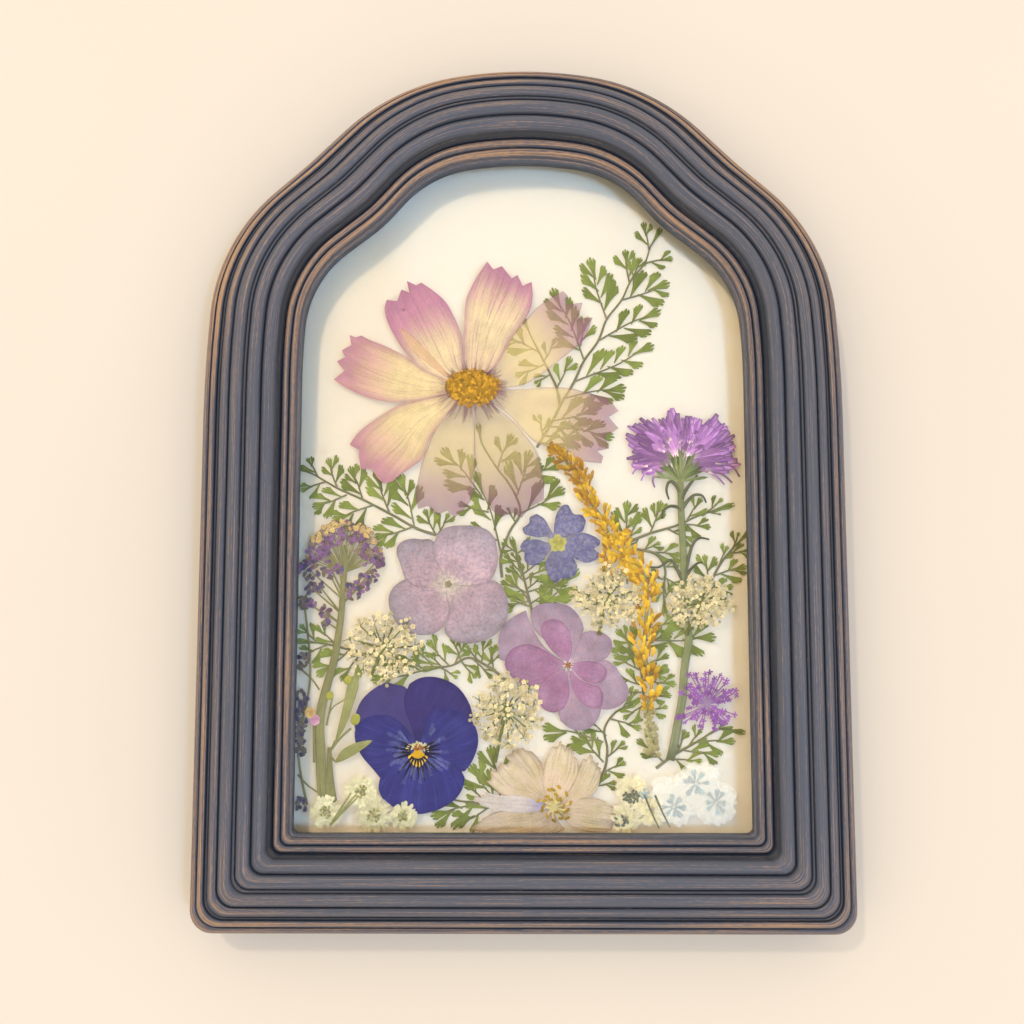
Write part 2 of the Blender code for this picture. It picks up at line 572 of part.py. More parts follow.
def build_larkspur(maker):
    outlines = ovals(LARKSPUR_HEART, LARKSPUR_PETALS, 1.3, 4)
    outlines.append(disc(LARKSPUR_HEART, 2.2, 8))
    flower = press(maker, "larkspur", 2, outlines, "DCCBBB")
    maker.boss(flower, LARKSPUR_HEART, outlines[0][0], (1.6, 1.6), 0.35)


# ---------------------------------------------------------------- aster and spikes

ASTER_CUP = (32.8, 94.6)
ASTER_TIPS = [(44.4, 94), (44.6, 97.8), (42.8, 101.4), (39.8, 103.2), (36.4, 103.5),
              (33.6, 104), (30.8, 105), (27.6, 103.9), (24.8, 102.6), (22.6, 99.8),
              (22, 95.8)]
ASTER_STEM = [(32.8, 91), (32.8, 82), (33.2, 72), (32.6, 64), (33.4, 57), (32, 49),
              (31, 41), (30, 33)]
ASTER_CURLS = [[(32.8, 87.6), (30.6, 90)], [(32.8, 86), (35.8, 88), (37.8, 86.2)],
               [(33.2, 73), (34.8, 78.4), (38.4, 78)], [(33, 71.4), (30.2, 73.2), (26, 72.4)]]


def build_aster(maker):
    outlines = [strip(ASTER_STEM, 1.3, 1.6), burst(ASTER_CUP, ASTER_TIPS, 0.86, 1.5)]
    outlines.append([(32, 89.8), (28.4, 93.2), (29.4, 98), (33, 99), (37.4, 97.6),
                     (37.2, 93.4), (33.8, 89.8)])
    outlines += [strip(curl, 0.9, 0.5) for curl in ASTER_CURLS]
    press(maker, "aster", 2, outlines, "8C5FA8")


GOLDENROD_SPINE = [(6, 98), (9.4, 94.8), (12.6, 91.6), (13.4, 87), (16, 82.6), (18.6, 78),
                   (21.6, 75.4), (24.2, 72.6), (25, 67.6), (25.4, 62), (24.4, 56.6),
                   (25.2, 51), (24.8, 46), (25.6, 41), (27.2, 34.6)]
GOLDENROD_WIDTHS = [1.6, 3.4, 3.6, 3, 3.4, 3.2, 3, 4.2, 3.6, 4.4, 4, 4.6, 2, 1.2, 1.6]
GOLDENROD_SPURS = [([(18.6, 78), (22.4, 79.4)], 2.2), ([(18.8, 78), (18.2, 71)], 2),
                   ([(21.4, 75.4), (21.4, 69.6)], 1.8)]


# Between two heads the spike narrows to this share of their widths' sum, to either side.
WAIST = 0.18


def lumpy(points, widths):
    """A spike of small heads: a band whose edge swells at each point and pinches between."""
    line = [Vector(p) for p in points]
    left, right = [], []
    for index, (point, width) in enumerate(zip(line, widths)):
        ahead = line[min(index + 1, len(line) - 1)] - line[max(index - 1, 0)]
        side = Vector((-ahead.y, ahead.x)).normalized()
        left.append(tuple(point + side * width / 2))
        right.append(tuple(point - side * width / 2))
        if index + 1 < len(line):
            middle = (point + line[index + 1]) / 2
            pinch = side * (width + widths[index + 1]) * WAIST
            left.append(tuple(middle + pinch))
            right.append(tuple(middle - pinch))
    return left + right[::-1]


def build_goldenrod(maker):
    outlines = [lumpy(GOLDENROD_SPINE, GOLDENROD_WIDTHS)]
    outlines += [strip(line, 1.2, width) for line, width in GOLDENROD_SPURS]
    press(maker, "goldenrod", 3, outlines, "C99A35")


# ---------------------------------------------------------------- heads of small florets

def rim(centre, radius_x, radius_y, count, turn=0.0):
    """Points spread round an ellipse."""
    return [(centre[0] + radius_x * math.cos(math.radians(turn + 360 * i / count)),
             centre[1] + radius_y * math.sin(math.radians(turn + 360 * i / count)))
            for i in range(count)]


# Cream umbels: layer, hub, half width, half height and the foot of the stem.
UMBELS = {
    "lace_umbel_1": (4, (-28.4, 56), 8.6, 8, (-31, 50)),
    "lace_umbel_2": (3, (-3.4, 43.4), 7.6, 7.8, (-5.6, 33)),
    "lace_umbel_3": (4, (17, 66), 7.2, 7, (15.6, 58.6)),
    "lace_umbel_4": (3, (36.6, 65.2), 7, 6, (33.4, 58.6)),
}
UMBEL_LOBES = 8


def build_umbels(maker):
    for name, (layer, hub, half_width, half_height, foot) in UMBELS.items():
        tips = rim(hub, half_width, half_height, UMBEL_LOBES, 20)
        outlines = [burst(hub, tips, 0.8, 3.0), strip([hub, foot], 0.9, 0.9)]
        press(maker, name, layer, outlines, "E6DAB4")


PURPLE_HUB = (38, 46)
PURPLE_TIPS = [(44.4, 46.4), (43.6, 49.6), (40.6, 51.8), (37.2, 52.6), (33.6, 50.6),
               (31.6, 46.8), (31.4, 41.8), (35, 39.6), (39, 39), (42.6, 40.4)]


def build_purple_umbel(maker):
    outlines = [burst(PURPLE_HUB, PURPLE_TIPS, 0.7, 2.2)]
    press(maker, "purple_umbel", 3, outlines, "A06CB8")


STATICE_STEM = [(-36.6, 76), (-36.8, 68), (-37.6, 60), (-39.6, 50), (-41, 38), (-40.2, 24)]
STATICE_CROWN = [(-36.8, 67.4), (-38.4, 72.4), (-42.2, 74.6), (-44.4, 77.2), (-43, 80),
                 (-39.4, 81.8), (-35.6, 82), (-31.6, 81.6), (-28.4, 78.4), (-27.8, 74.4),
                 (-31.4, 75), (-35.4, 72.6)]
STATICE_HEADS = [(-44.4, 72, 1.9), (-34.8, 68.6, 2), (-30.6, 71, 1.9), (-40.6, 63, 1.6)]


def build_statice(maker):
    """A branched head of small dry flowers on its stem, with a second stem beside it."""
    outlines = [strip(STATICE_STEM, 1.4, 2.4), strip([(-39.9, 48), (-38.4, 25)], 1.6, 2),
                STATICE_CROWN]
    for x, y, radius in STATICE_HEADS:
        fork = (-36.8, 67) if y > 66 else (-37.4, 60)
        outlines.append(strip([fork, (x, y)], 0.6, 1))
        outlines.append(disc((x, y), radius, 6))
    press(maker, "statice", 2, outlines, "6E5168")


def build_statice_edge(maker):
    """Dark heads of a second spray, which the frame's left edge half covers."""
    outlines = [strip([(-45, 66), (-43.4, 50), (-45.6, 36), (-43.6, 24.5)], 0.8, 1.2)]
    for x, y, radius in [(-44.8, 65.4, 1.9), (-45.2, 53.4, 1.8), (-45.6, 46, 1.4),
                         (-45.2, 41.6, 1.8), (-45, 37, 1.9)]:
        outlines.append(disc((x, y), radius, 6))
    press(maker, "statice_edge", 1, outlines, "45435A")


def build_cream_cluster(maker):
    outlines = [disc((-39.6, 23.2), 3.8, 8), disc((-32.4, 27.4), 3.9, 8),
                disc((-30, 22.2), 4.2, 8), disc((-23.8, 22.2), 3.2, 8),
                strip([(-38.6, 20.8), (-33.4, 26)], 1.0, 1.0)]
    press(maker, "cream_cluster", 3, outlines, "E2DAB0")


def build_white_cluster(maker):
    outlines = [disc((30.6, 26), 5.6, 9), disc((36, 29.4), 5, 9), disc((38.8, 25), 5.4, 9),
                disc((22, 27.6), 3.8, 8), disc((20.4, 22), 3.6, 8), disc((26, 23.6), 3.8, 8)]
    press(maker, "white_cluster", 4, outlines, "EEF0E4")


def build_leaf_sprig(maker):
    """Two narrow leaves and three round buds on thread stalks."""
    outlines = [strip([(-39.4, 34.6), (-36, 38.6), (-33.9, 40.6)], 0.5, 0.5),
                disc((-33.8, 41.6), 1.2, 7),
                [(-38.4, 32.4), (-38.2, 34.6), (-34, 36.6), (-30.4, 37.4), (-33, 35.2),
                 (-36.4, 33.4)],
                strip([(-38, 33.4), (-39.2, 34.8)], 0.6, 0.5),
                [(-38, 37.4), (-36.6, 43), (-35.4, 49.6), (-33.4, 50.4), (-33.6, 47),
                 (-35.4, 41)],
                strip([(-37.8, 36.2), (-37.2, 38.6)], 0.5, 0.7),
                strip([(-35.2, 48), (-39.2, 46.4)], 0.5, 0.5), disc((-39.4, 46.4), 1.1, 6)]
    press(maker, "leaf_sprig", 3, outlines, "8A8B4A")


def build_pink_bud(maker):
    outlines = [disc((-43.2, 43), 1.2, 6), disc((-42.2, 41.4), 1.1, 6),
                strip([(-42.4, 41), (-42.2, 33)], 0.8, 0.8)]
    press(maker, "pink_bud", 3, outlines, "CE9AA0")


def main():
    clear_scene()
    maker = Maker()
    build_frame(maker)
    build_pane(maker, "glass", GLASS_TOP, GLASS_THICKNESS, material("glass", CLEAR, 0.02))
    build_pane(maker, "backing_paper", PAPER_TOP, PAPER_THICKNESS,
               material("backing_paper", CREAM, 0.9))
    build_pane(maker, "back_board", BOARD_TOP, BOARD_THICKNESS,
               material("back_board", MILLBOARD, 0.9))
    build_back_points(maker)
    build_ferns(maker)
    build_cosmos(maker)
    build_hydrangea(maker)
    build_double_floret(maker)
    build_viola(maker)
    build_verbena(maker)
    build_larkspur(maker)
    build_aster(maker)
    build_goldenrod(maker)
    build_umbels(maker)
    build_purple_umbel(maker)
    build_statice(maker)
    build_statice_edge(maker)
    build_cream_cluster(maker)
    build_white_cluster(maker)
    build_leaf_sprig(maker)
    build_pink_bud(maker)


if __name__ == "__main__":
    main()
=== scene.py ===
"""Looks for the pressed flower frame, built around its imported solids.

It lays a reeded, rubbed moulding, a sheet of glass, cream paper and every pressed specimen over
the solids they stand for, and sets the floor, the lights and the camera. Outlines are drawn in
millimetres on the sheet, x from the centre line and y from the frame's bottom edge, and each
finished piece is then carried to metres in the frame of the solids.
"""

import math
import random

import bmesh
import bpy
from bpy.props import FloatProperty, FloatVectorProperty, IntProperty, PointerProperty
from mathutils import Matrix, Vector, noise


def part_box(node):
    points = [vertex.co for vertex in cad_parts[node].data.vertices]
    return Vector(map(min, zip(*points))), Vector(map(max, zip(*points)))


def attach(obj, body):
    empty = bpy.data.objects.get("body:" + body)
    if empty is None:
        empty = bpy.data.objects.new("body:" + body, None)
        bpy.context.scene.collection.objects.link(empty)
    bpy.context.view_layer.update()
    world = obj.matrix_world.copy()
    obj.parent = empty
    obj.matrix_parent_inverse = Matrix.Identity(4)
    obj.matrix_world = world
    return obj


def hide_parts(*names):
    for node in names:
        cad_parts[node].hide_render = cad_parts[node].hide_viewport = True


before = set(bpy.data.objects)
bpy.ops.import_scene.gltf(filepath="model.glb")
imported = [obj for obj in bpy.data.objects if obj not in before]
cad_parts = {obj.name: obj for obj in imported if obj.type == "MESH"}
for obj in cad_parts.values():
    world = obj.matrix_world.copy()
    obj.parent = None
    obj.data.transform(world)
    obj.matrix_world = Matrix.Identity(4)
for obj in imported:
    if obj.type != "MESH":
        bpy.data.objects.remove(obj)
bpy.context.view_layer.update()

bl_info = {
    "name": "Pressed Flower Frame",
    "version": (1, 0, 0),
    "blender": (4, 5, 0),
    "location": "3D View > Sidebar > Pressed Flowers",
    "description": "Builds a reeded picture frame glazed over pressed flowers and ferns",
    "category": "Add Mesh",
}

MM = 0.001
FRAME_LOW, FRAME_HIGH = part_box("frame")
HEIGHT = (FRAME_HIGH[1] - FRAME_LOW[1]) / MM
TO_ROW = Matrix.Scale(MM, 4) @ Matrix.Translation((0, -HEIGHT / 2, 0))


# ---------------------------------------------------------------- colours and nodes

def linear(hex_colour):
    """Turns an sRGB hex value to the linear red, green and blue that Blender works in."""
    values = [int(hex_colour[i:i + 2], 16) / 255 for i in (0, 2, 4)]
    return tuple(v / 12.92 if v <= 0.04045 else ((v + 0.055) / 1.055) ** 2.4 for v in values)


def colour_property(name, description, hex_colour):
    return FloatVectorProperty(
        name=name, description=description, subtype="COLOR", size=3, min=0.0, max=1.0,
        default=linear(hex_colour))


def fill(tree, node, inputs):
    """Gives a node's inputs, by name or in order, their numbers, colours or links."""
    named = inputs if isinstance(inputs, dict) else dict(enumerate(inputs))
    for name, value in named.items():
        socket = node.inputs[name]
        if isinstance(value, bpy.types.NodeSocket):
            tree.links.new(value, socket)
            continue
        if isinstance(value, str):
            value = linear(value)
        if socket.type == "RGBA" and len(value) == 3:
            value = (*value, 1.0)
        socket.default_value = value


# Which output is read of the kinds whose first isn't the wanted one: a Mix gives its colour, an
# Attribute its number and Texture Coordinate the piece's own place.
OUTPUTS = {"Mix": 2, "Attribute": 2, "TexCoord": 3}


def add(tree, kind, inputs=(), ramp=(), out=None, **settings):
    """Adds a node with its settings, inputs and ramp, and returns one of its outputs."""
    made = tree.nodes.new("ShaderNode" + kind)
    if kind == "Mix":
        settings = {"data_type": "RGBA", **settings}
    for key, value in settings.items():
        setattr(made, key, value)
    fill(tree, made, inputs)
    for number, (place, colour) in enumerate(ramp):
        stops = made.color_ramp.elements
        stop = stops[number] if number < 2 else stops.new(place)
        stop.position = place
        stop.color = (*linear(colour), 1.0) if isinstance(colour, str) else (*colour, 1.0)
    return made.outputs[OUTPUTS.get(kind, 0) if out is None else out]


def finish(name, **shader_values):
    """A new material with its node tree and its shader, the shader's plain values set."""
    made = bpy.data.materials.new(name)
    made.use_nodes = True
    shader = made.node_tree.nodes["Principled BSDF"]
    words = {"ior": "IOR", "transmission": "Transmission Weight", "sheen": "Sheen Weight",
             "coat": "Coat Weight", "specular": "Specular IOR Level"}
    fill(made.node_tree, shader,
         {words.get(k, k.replace("_", " ").title()): v for k, v in shader_values.items()})
    return made, made.node_tree, shader


# ---------------------------------------------------------------- settings

class MouldingSettings(bpy.types.PropertyGroup):
    paint: colour_property("Paint", "The moulding's slate paint", "495266")
    # Painted shade: the groove colour is partly dark paint left in the grooves and partly the
    # shade that falls in them and in the low coves.
    groove: colour_property("Groove", "Dark paint left in the grooves", "1D2737")
    rub: colour_property("Rub", "Metallic wax rubbed on the crests", "B3916F")
    rub_amount: FloatProperty(
        name="Rub amount", description="How much of the crests is rubbed", default=0.5, min=0.0,
        max=1.0, subtype="FACTOR")
    reed_round: FloatProperty(
        name="Reed roundness", description="Lower makes fuller reeds", default=0.7, min=0.4,
        max=1.2)


class SheetSettings(bpy.types.PropertyGroup):
    paper: colour_property("Paper", "The backing paper's cream", "F3E6D3")
    # Also the colour of the browner band at the right side and the foot, and of the painted shade
    # at the paper's left side.
    paper_brown_and_shade: colour_property("Stain", "Where age has browned the paper", "E8C48E")
    glass: colour_property("Glass", "The tint of the glass", "F4FAF8")
    glass_bevel: FloatProperty(
        name="Glass bevel", description="Ground edge of the glass", default=0.0003, min=0.0,
        unit="LENGTH")


class SpecimenSettings(bpy.types.PropertyGroup):
    thickness: FloatProperty(
        name="Petal thickness", description="Thickness of a pressed petal", default=0.00004,
        min=0.00001, unit="LENGTH")
    fern: colour_property("Fern", "Green of the pressed fern", "7F8640")
    florets: IntProperty(
        name="Florets", description="Florets in each lace umbel", default=170, min=20, max=260)


class StageSettings(bpy.types.PropertyGroup):
    floor: colour_property("Floor", "The pale floor", "D9D7D2")
    key: colour_property("Key light", "The warm light from the upper left", "FFE4C6")
    fill: colour_property("Fill light", "The cool light from the lower right", "90C2FF")
    floor_size: FloatProperty(
        name="Floor size", description="Width of the floor", default=3.0, min=0.5, unit="LENGTH")


# ---------------------------------------------------------------- moulding

# The frame's outer and sight outlines, as in its solid. Lengths are in mm, turns in degrees.
OUTLINES = {
    "half_width": (66.0, 45.6), "bottom": (0.0, 19.6), "corner": (4.5, 1.2),
    "spring": (103.2, 111.1), "ease_radius": (289.0, 126.6), "ease_turn": (4.35, 5.2),
    "shoulder_radius": (38.8, 21.9), "shoulder_turn": (44.5, 47.1), "slope": (7.5, 6.8),
    "ogee_radius": (56.8, 30.0), "ogee_turn": (3.1, 10.6), "rise": (9.1, 3.9),
    "haunch_radius": (43.5, 22.6), "haunch_turn": (34.3, 38.9)}
MOULDING = 20.4
REBATE = 16.2
LIP_TOP = 12.6
LIP_FOOT = 10.2
OUTER_SIDE = [(0.6, 0.0), (0.0, 0.6), (0.0, 7.6), (0.0, 9.8), (0.15, 10.5), (0.5, 11.1),
              (0.9, 11.45), (1.25, 11.45)]
# Each groove: inset, height, the rise of the reed that follows (or the fall of a cove), and
# how much of it is rubbed.
GROOVES = [
    (1.6, 11.2, 1.15, 1.0), (3.5, 12.8, 0.2, 0.5), (4.1, 13.0, 1.1, 0.5), (6.45, 14.6, 1.1, 0.36),
    (9.5, 15.8, 0.3, 0.3), (10.2, 15.8, 1.05, 0.3), (13.2, 15.6, 1.25, 0.26),
    (16.2, 15.0, 0.12, 0.2), (17.0, 13.8, 0.85, 0.8), (18.5, 13.6, 0.85, 0.9),
    (20.05, 12.85, 0.0, 0.9)]
# How much of the outer edge and side is rubbed, how far below the edge the side starts, the
# widest reed that gets the fewer steps, and the rise from which a reed is rubbed and lit in full:
# lower reeds and coves get less wax and more painted shade.
EDGE_RUB = 0.8
SIDE_RUB = 0.15
SIDE_DROP = 2.0
NARROW_REED = 1.5
FULL_RISE = 0.8
# Hands rub the arch from this height up, over this rise, and each lower corner round this place.
WORN_ARCH, WORN_RISE = 95.0, 45.0
WORN_CORNER, WORN_RADIUS = (54.0, 11.0), 12.0
UV_SCALE = 0.01


class Walk:
    """An outline drawn by straight runs and arcs that meet them without a corner."""

    def __init__(self, x, y, heading):
        self.points = [(x, y)]
        self.heading = heading

    def line(self, length, steps):
        x, y = self.points[-1]
        angle = math.radians(self.heading)
        for step in range(1, steps + 1):
            reach = length * step / steps
            self.points.append((x + reach * math.cos(angle), y + reach * math.sin(angle)))

    def arc(self, radius, turn, steps):
        """Turns left by a positive angle and right by a negative one."""
        x, y = self.points[-1]
        side = math.copysign(1.0, turn)
        start = math.radians(self.heading)
        centre_x = x - side * radius * math.sin(start)
        centre_y = y + side * radius * math.cos(start)
        for step in range(1, steps + 1):
            angle = start + math.radians(turn) * step / steps
            self.points.append((centre_x + side * radius * math.sin(angle),
                                centre_y - side * radius * math.cos(angle)))
        self.heading += turn


def arch(inset):
    """The closed outline this far inside the frame's outer edge, counter-clockwise."""
    share = inset / MOULDING
    size = {key: outer + (sight - outer) * share for key, (outer, sight) in OUTLINES.items()}
    walk = Walk(0.0, size["bottom"], 0.0)
    walk.line(size["half_width"] - size["corner"], 8)
    walk.arc(size["corner"], 90.0, 9)
    walk.line(size["spring"] - walk.points[-1][1], 14)
    walk.arc(size["ease_radius"], size["ease_turn"], 3)
    walk.arc(size["shoulder_radius"], size["shoulder_turn"], 14)
    walk.line(size["slope"], 3)
    walk.arc(size["ogee_radius"], -size["ogee_turn"], 4)
    walk.line(size["rise"], 3)
    walk.arc(size["haunch_radius"], size["haunch_turn"], 12)
    crown_radius = walk.points[-1][0] / math.sin(math.radians(walk.heading))
    walk.arc(crown_radius, 180.0 - walk.heading, 14)
    right = walk.points
    left = [(-x, y) for x, y in reversed(right[1:-1])]
    return right + left


def moulding_section(roundness):
    """The section as inset, height, crest (0 in a groove, in painted shade; 1 on a crest) and rub.
    """
    edge = OUTER_SIDE[-1][1] - SIDE_DROP
    section = [(inset, height, 1.0, EDGE_RUB if height > edge else SIDE_RUB)
               for inset, height in OUTER_SIDE]
    for (start, low, rise, rub), (end, high, _, _) in zip(GROOVES, GROOVES[1:]):
        steps = 12 if end - start > NARROW_REED else 6
        for step in range(steps):
            share = step / steps
            bulge = math.sin(math.pi * share) ** roundness if step else 0.0
            # Low reeds and coves get a lower crest: less wax, and more painted shade.
            section.append(
                (start + (end - start) * share, low + (high - low) * share + rise * bulge,
                 bulge * min(1.0, max(0.0, rise) / FULL_RISE), rub))
    inset, height, _, rub = GROOVES[-1]
    section += [(inset, height, 0.7, rub), (MOULDING - 0.03, LIP_TOP, 0.6, rub * 0.6),
                (MOULDING, LIP_TOP - 0.3, 0.5, 0.3), (MOULDING, LIP_FOOT, 0.2, 0.2)]
    section += [(REBATE, LIP_FOOT, 0.0, 0.0), (REBATE, 0.0, 0.0, 0.0)]
    return section


def wear(x, y):
    """How much handling has rubbed the moulding here: most over the arch and at the corners."""
    arch_share = min(max((y - WORN_ARCH) / WORN_RISE, 0.0), 1.0)
    corner = max(0.0, 1.0 - math.hypot(abs(x) - WORN_CORNER[0], y - WORN_CORNER[1]) / WORN_RADIUS)
    left = 0.12 if x < 0 else 0.0
    patch = noise.noise(Vector((x * 0.035, y * 0.035, 4.0)))
    return 0.5 + 0.32 * arch_share + 0.5 * corner + left + 0.3 * patch


def build_moulding_mesh(roundness):
    """Sweeps the section in from the outer edge, one ring of the arch after another."""
    section = moulding_section(roundness)
    outlines = [arch(inset) for inset, _, _, _ in section]
    count = len(outlines[0])
    bm = bmesh.new()
    column = bm.verts.layers.int.new("column")
    row = bm.verts.layers.int.new("row")
    crest = bm.verts.layers.float.new("crest")
    rub = bm.verts.layers.float.new("rub")
    verts = [bm.verts.new((x, y, section[0][1])) for x, y in outlines[0]]
    for number, vert in enumerate(verts):
        vert[column] = number
    edges = [bm.edges.new((verts[i], verts[(i + 1) % count])) for i in range(count)]
    first_edges = list(edges)
    rings = [verts]
    for number in range(1, len(section)):
        made = bmesh.ops.extrude_edge_only(bm, edges=edges)["geom"]
        verts = [item for item in made if isinstance(item, bmesh.types.BMVert)]
        edges = [item for item in made if isinstance(item, bmesh.types.BMEdge)]
        for vert in verts:
            x, y = outlines[number][vert[column]]
            vert.co = (x, y, section[number][1])
            vert[row] = number
        rings.append(verts)
    for number, ring in enumerate(rings):
        for vert in ring:
            vert[crest] = section[number][2]
            vert[rub] = section[number][3] * wear(vert.co.x, vert.co.y)
    bmesh.ops.bridge_loops(bm, edges=first_edges + edges)
    middle = arch(MOULDING / 2)
    run = [0.0]
    for here, there in zip(middle, middle[1:] + middle[:1]):
        run.append(run[-1] + math.dist(here, there))
    reach = [0.0]
    for here, there in zip(section, section[1:]):
        reach.append(reach[-1] + math.dist(here[:2], there[:2]))
    uv = bm.loops.layers.uv.new("moulding")
    for face in bm.faces:
        columns = [loop.vert[column] for loop in face.loops]
        wraps = max(columns) - min(columns) > 1
        for loop in face.loops:
            number = loop.vert[column]
            if wraps and number == 0:
                number = count
            loop[uv].uv = (run[number] * UV_SCALE, reach[loop.vert[row]] * UV_SCALE)
    bmesh.ops.recalc_face_normals(bm, faces=bm.faces)
    return bm


def rubbed_paint(settings):
    """Wood under slate paint, brushed on along the reeds, with metallic wax rubbed on the crests:
    a satin, streaky grey that sinks to navy in the grooves, partly dark paint and partly painted
    shade, and glints bronze above."""
    made, tree, shader = finish("rubbed_slate_paint")
    uv = add(tree, "UVMap", uv_map="moulding")
    # Brush marks: 30 mm long and about 0.25 mm wide.
    streak_place = add(tree, "Mapping", {0: uv, 3: (10 / 3.0, 400.0, 1.0)})
    streak = add(
        tree, "TexNoise", {"Vector": streak_place, "Scale": 1.0, "Detail": 4.0, "Roughness": 0.65})
    grain_place = add(tree, "Mapping", {0: uv, 3: (60.0, 900.0, 1.0)})
    grain = add(
        tree, "TexNoise", {"Vector": grain_place, "Scale": 1.0, "Detail": 3.0, "Roughness": 0.6})
    crest = add(tree, "Attribute", attribute_name="crest")
    rub = add(tree, "Attribute", attribute_name="rub")
    # Painted shade: grooves and low coves sink to the groove colour, partly dark paint and partly
    # the shade that falls in them.
    depth = add(tree, "MapRange", (crest, 0.02, 0.7, 0.0, 1.0), interpolation_type="SMOOTHSTEP")
    paint = add(tree, "Mix", {0: depth, 6: tuple(settings.groove), 7: tuple(settings.paint)})
    tone = add(tree, "MapRange", (streak, 0.3, 0.7, 0.76, 1.24))
    painted = add(tree, "Mix", {0: 1.0, 6: paint, 7: tone}, blend_type="MULTIPLY")
    # The wax catches the crests, and breaks up along the brush marks and the grain.
    high = add(tree, "MapRange", (crest, 0.3, 1.0, 0.0, 1.0), interpolation_type="SMOOTHSTEP")
    pressed = add(tree, "Math", (high, rub), operation="MULTIPLY")
    broken = add(tree, "Math", (streak, -0.5), operation="ADD")
    broken = add(tree, "Math", (broken, 2.9, pressed), operation="MULTIPLY_ADD")
    speck = add(tree, "Math", (grain, -0.5), operation="ADD")
    broken = add(tree, "Math", (speck, 1.6, broken), operation="MULTIPLY_ADD")
    low = 0.55 - 0.5 * settings.rub_amount
    wax = add(tree, "MapRange", (broken, low, low + 0.8, 0.0, 0.95))
    colour = add(tree, "Mix", {0: wax, 6: painted, 7: tuple(settings.rub)})
    metallic = add(tree, "Math", (wax, 0.4), operation="MULTIPLY")
    roughness = add(tree, "MapRange", (grain, 0.2, 0.8, 0.36, 0.56))
    bump = add(tree, "Bump", {"Strength": 0.25, "Distance": 0.0002, "Height": streak})
    bump = add(tree, "Bump",
               {"Strength": 0.2, "Distance": 0.0001, "Height": grain, "Normal": bump})
    fill(tree, shader,
         {"Base Color": colour, "Metallic": metallic, "Roughness": roughness, "Normal": bump})
    return made


def keep(name, bm, finishes, node, smooth=35.0):
    bmesh.ops.transform(bm, matrix=TO_ROW, verts=bm.verts)
    mesh = bpy.data.meshes.new(name)
    bm.to_mesh(mesh)
    bm.free()
    mesh.shade_smooth()
    mesh.set_sharp_from_angle(angle=math.radians(smooth))
    for material in finishes:
        mesh.materials.append(material)
    piece = bpy.data.objects.new(name, mesh)
    bpy.context.scene.collection.objects.link(piece)
    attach(piece, "root")
    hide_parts(node)
    return piece


class PRESSED_OT_moulding(bpy.types.Operator):
    """Build the reeded moulding over the frame's solid"""
    bl_idname = "pressed.moulding"
    bl_label = "Moulding"

    def execute(self, context):
        settings = context.scene.pressed_moulding
        bm = build_moulding_mesh(settings.reed_round)
        keep("moulding", bm, [rubbed_paint(settings)], "frame")
        return {"FINISHED"}


# ---------------------------------------------------------------- glass, paper and back

PANE_CLEARANCE = 0.4
# Where the paper's browner bands and the painted shade at its left begin and where they are
# full, in metres on its own axes.
BROWNER_SIDE = (0.0415, 0.044)
BROWNER_FOOT = (-0.0655, -0.0705)
SHADED_LEFT_SIDE = (-0.031, -0.022)


def clear_glass(settings):
    """Float glass, polished: nearly unseen, with a faint cool tint in its thickness."""
    return finish("float_glass", base_color=tuple(settings.glass), ior=1.52, transmission=1.0,
                  roughness=0.0)[0]


def aged_paper(settings):
    """Cotton rag paper, aged cream: matt, faintly fibrous, browner in blots by the right side and
    the foot, with painted shade warming its left side.
    """
    made, tree, shader = finish("aged_rag_paper", roughness=0.92, specular=0.2)
    place = add(tree, "TexCoord")
    cloud = add(tree, "TexNoise", {"Vector": place, "Scale": 28.0, "Detail": 3.0})
    fibre = add(
        tree, "TexNoise", {"Vector": place, "Scale": 1600.0, "Detail": 5.0, "Roughness": 0.7})
    warm = add(tree, "MapRange", (cloud, 0.35, 0.75, 0.0, 0.08))
    paper = tuple(settings.paper)
    colour = add(tree, "Mix", {0: warm, 6: paper, 7: tuple(settings.paper_brown_and_shade)})
    # A browner band runs along the right side and the foot, broken into blots.
    axes = add(tree, "SeparateXYZ", (place,))
    rows = add(tree, "SeparateXYZ", (place,), out=1)
    side = add(tree, "MapRange", (axes, *BROWNER_SIDE, 0.0, 1.0), interpolation_type="SMOOTHSTEP")
    foot = add(tree, "MapRange", (rows, *BROWNER_FOOT, 0.0, 0.8), interpolation_type="SMOOTHSTEP")
    rim = add(tree, "Math", (side, foot), operation="MAXIMUM")
    blot = add(tree, "TexNoise",
               {"Vector": place, "Scale": 130.0, "Detail": 4.0, "Roughness": 0.6})
    blots = add(tree, "MapRange", (blot, 0.5, 0.75, 0.0, 0.3))
    brown_and_shade_mask = add(tree, "Math", (rim, blots), operation="MULTIPLY")
    # Painted shade: the left side is painted warmer, where the cool light falls short.
    left_shade = add(
        tree, "MapRange", (axes, *SHADED_LEFT_SIDE, 0.22, 0.0), interpolation_type="SMOOTHSTEP")
    brown_and_shade_mask = add(tree, "Math", (brown_and_shade_mask, left_shade), operation="MAXIMUM")
    colour = add(tree, "Mix", {0: brown_and_shade_mask, 6: colour, 7: tuple(settings.paper_brown_and_shade)})
    # Stray specks of seed and dust, about 0.4 mm.
    speck = add(tree, "TexVoronoi", {"Vector": place, "Scale": 70.0})
    specks = add(tree, "MapRange", (speck, 0.006, 0.016, 0.55, 0.0))
    colour = add(tree, "Mix", {0: specks, 6: colour, 7: "6E5638"})
    bump = add(tree, "Bump", {"Strength": 0.3, "Distance": 0.00004, "Height": fibre})
    fill(tree, shader, {"Base Color": colour, "Normal": bump})
    return made


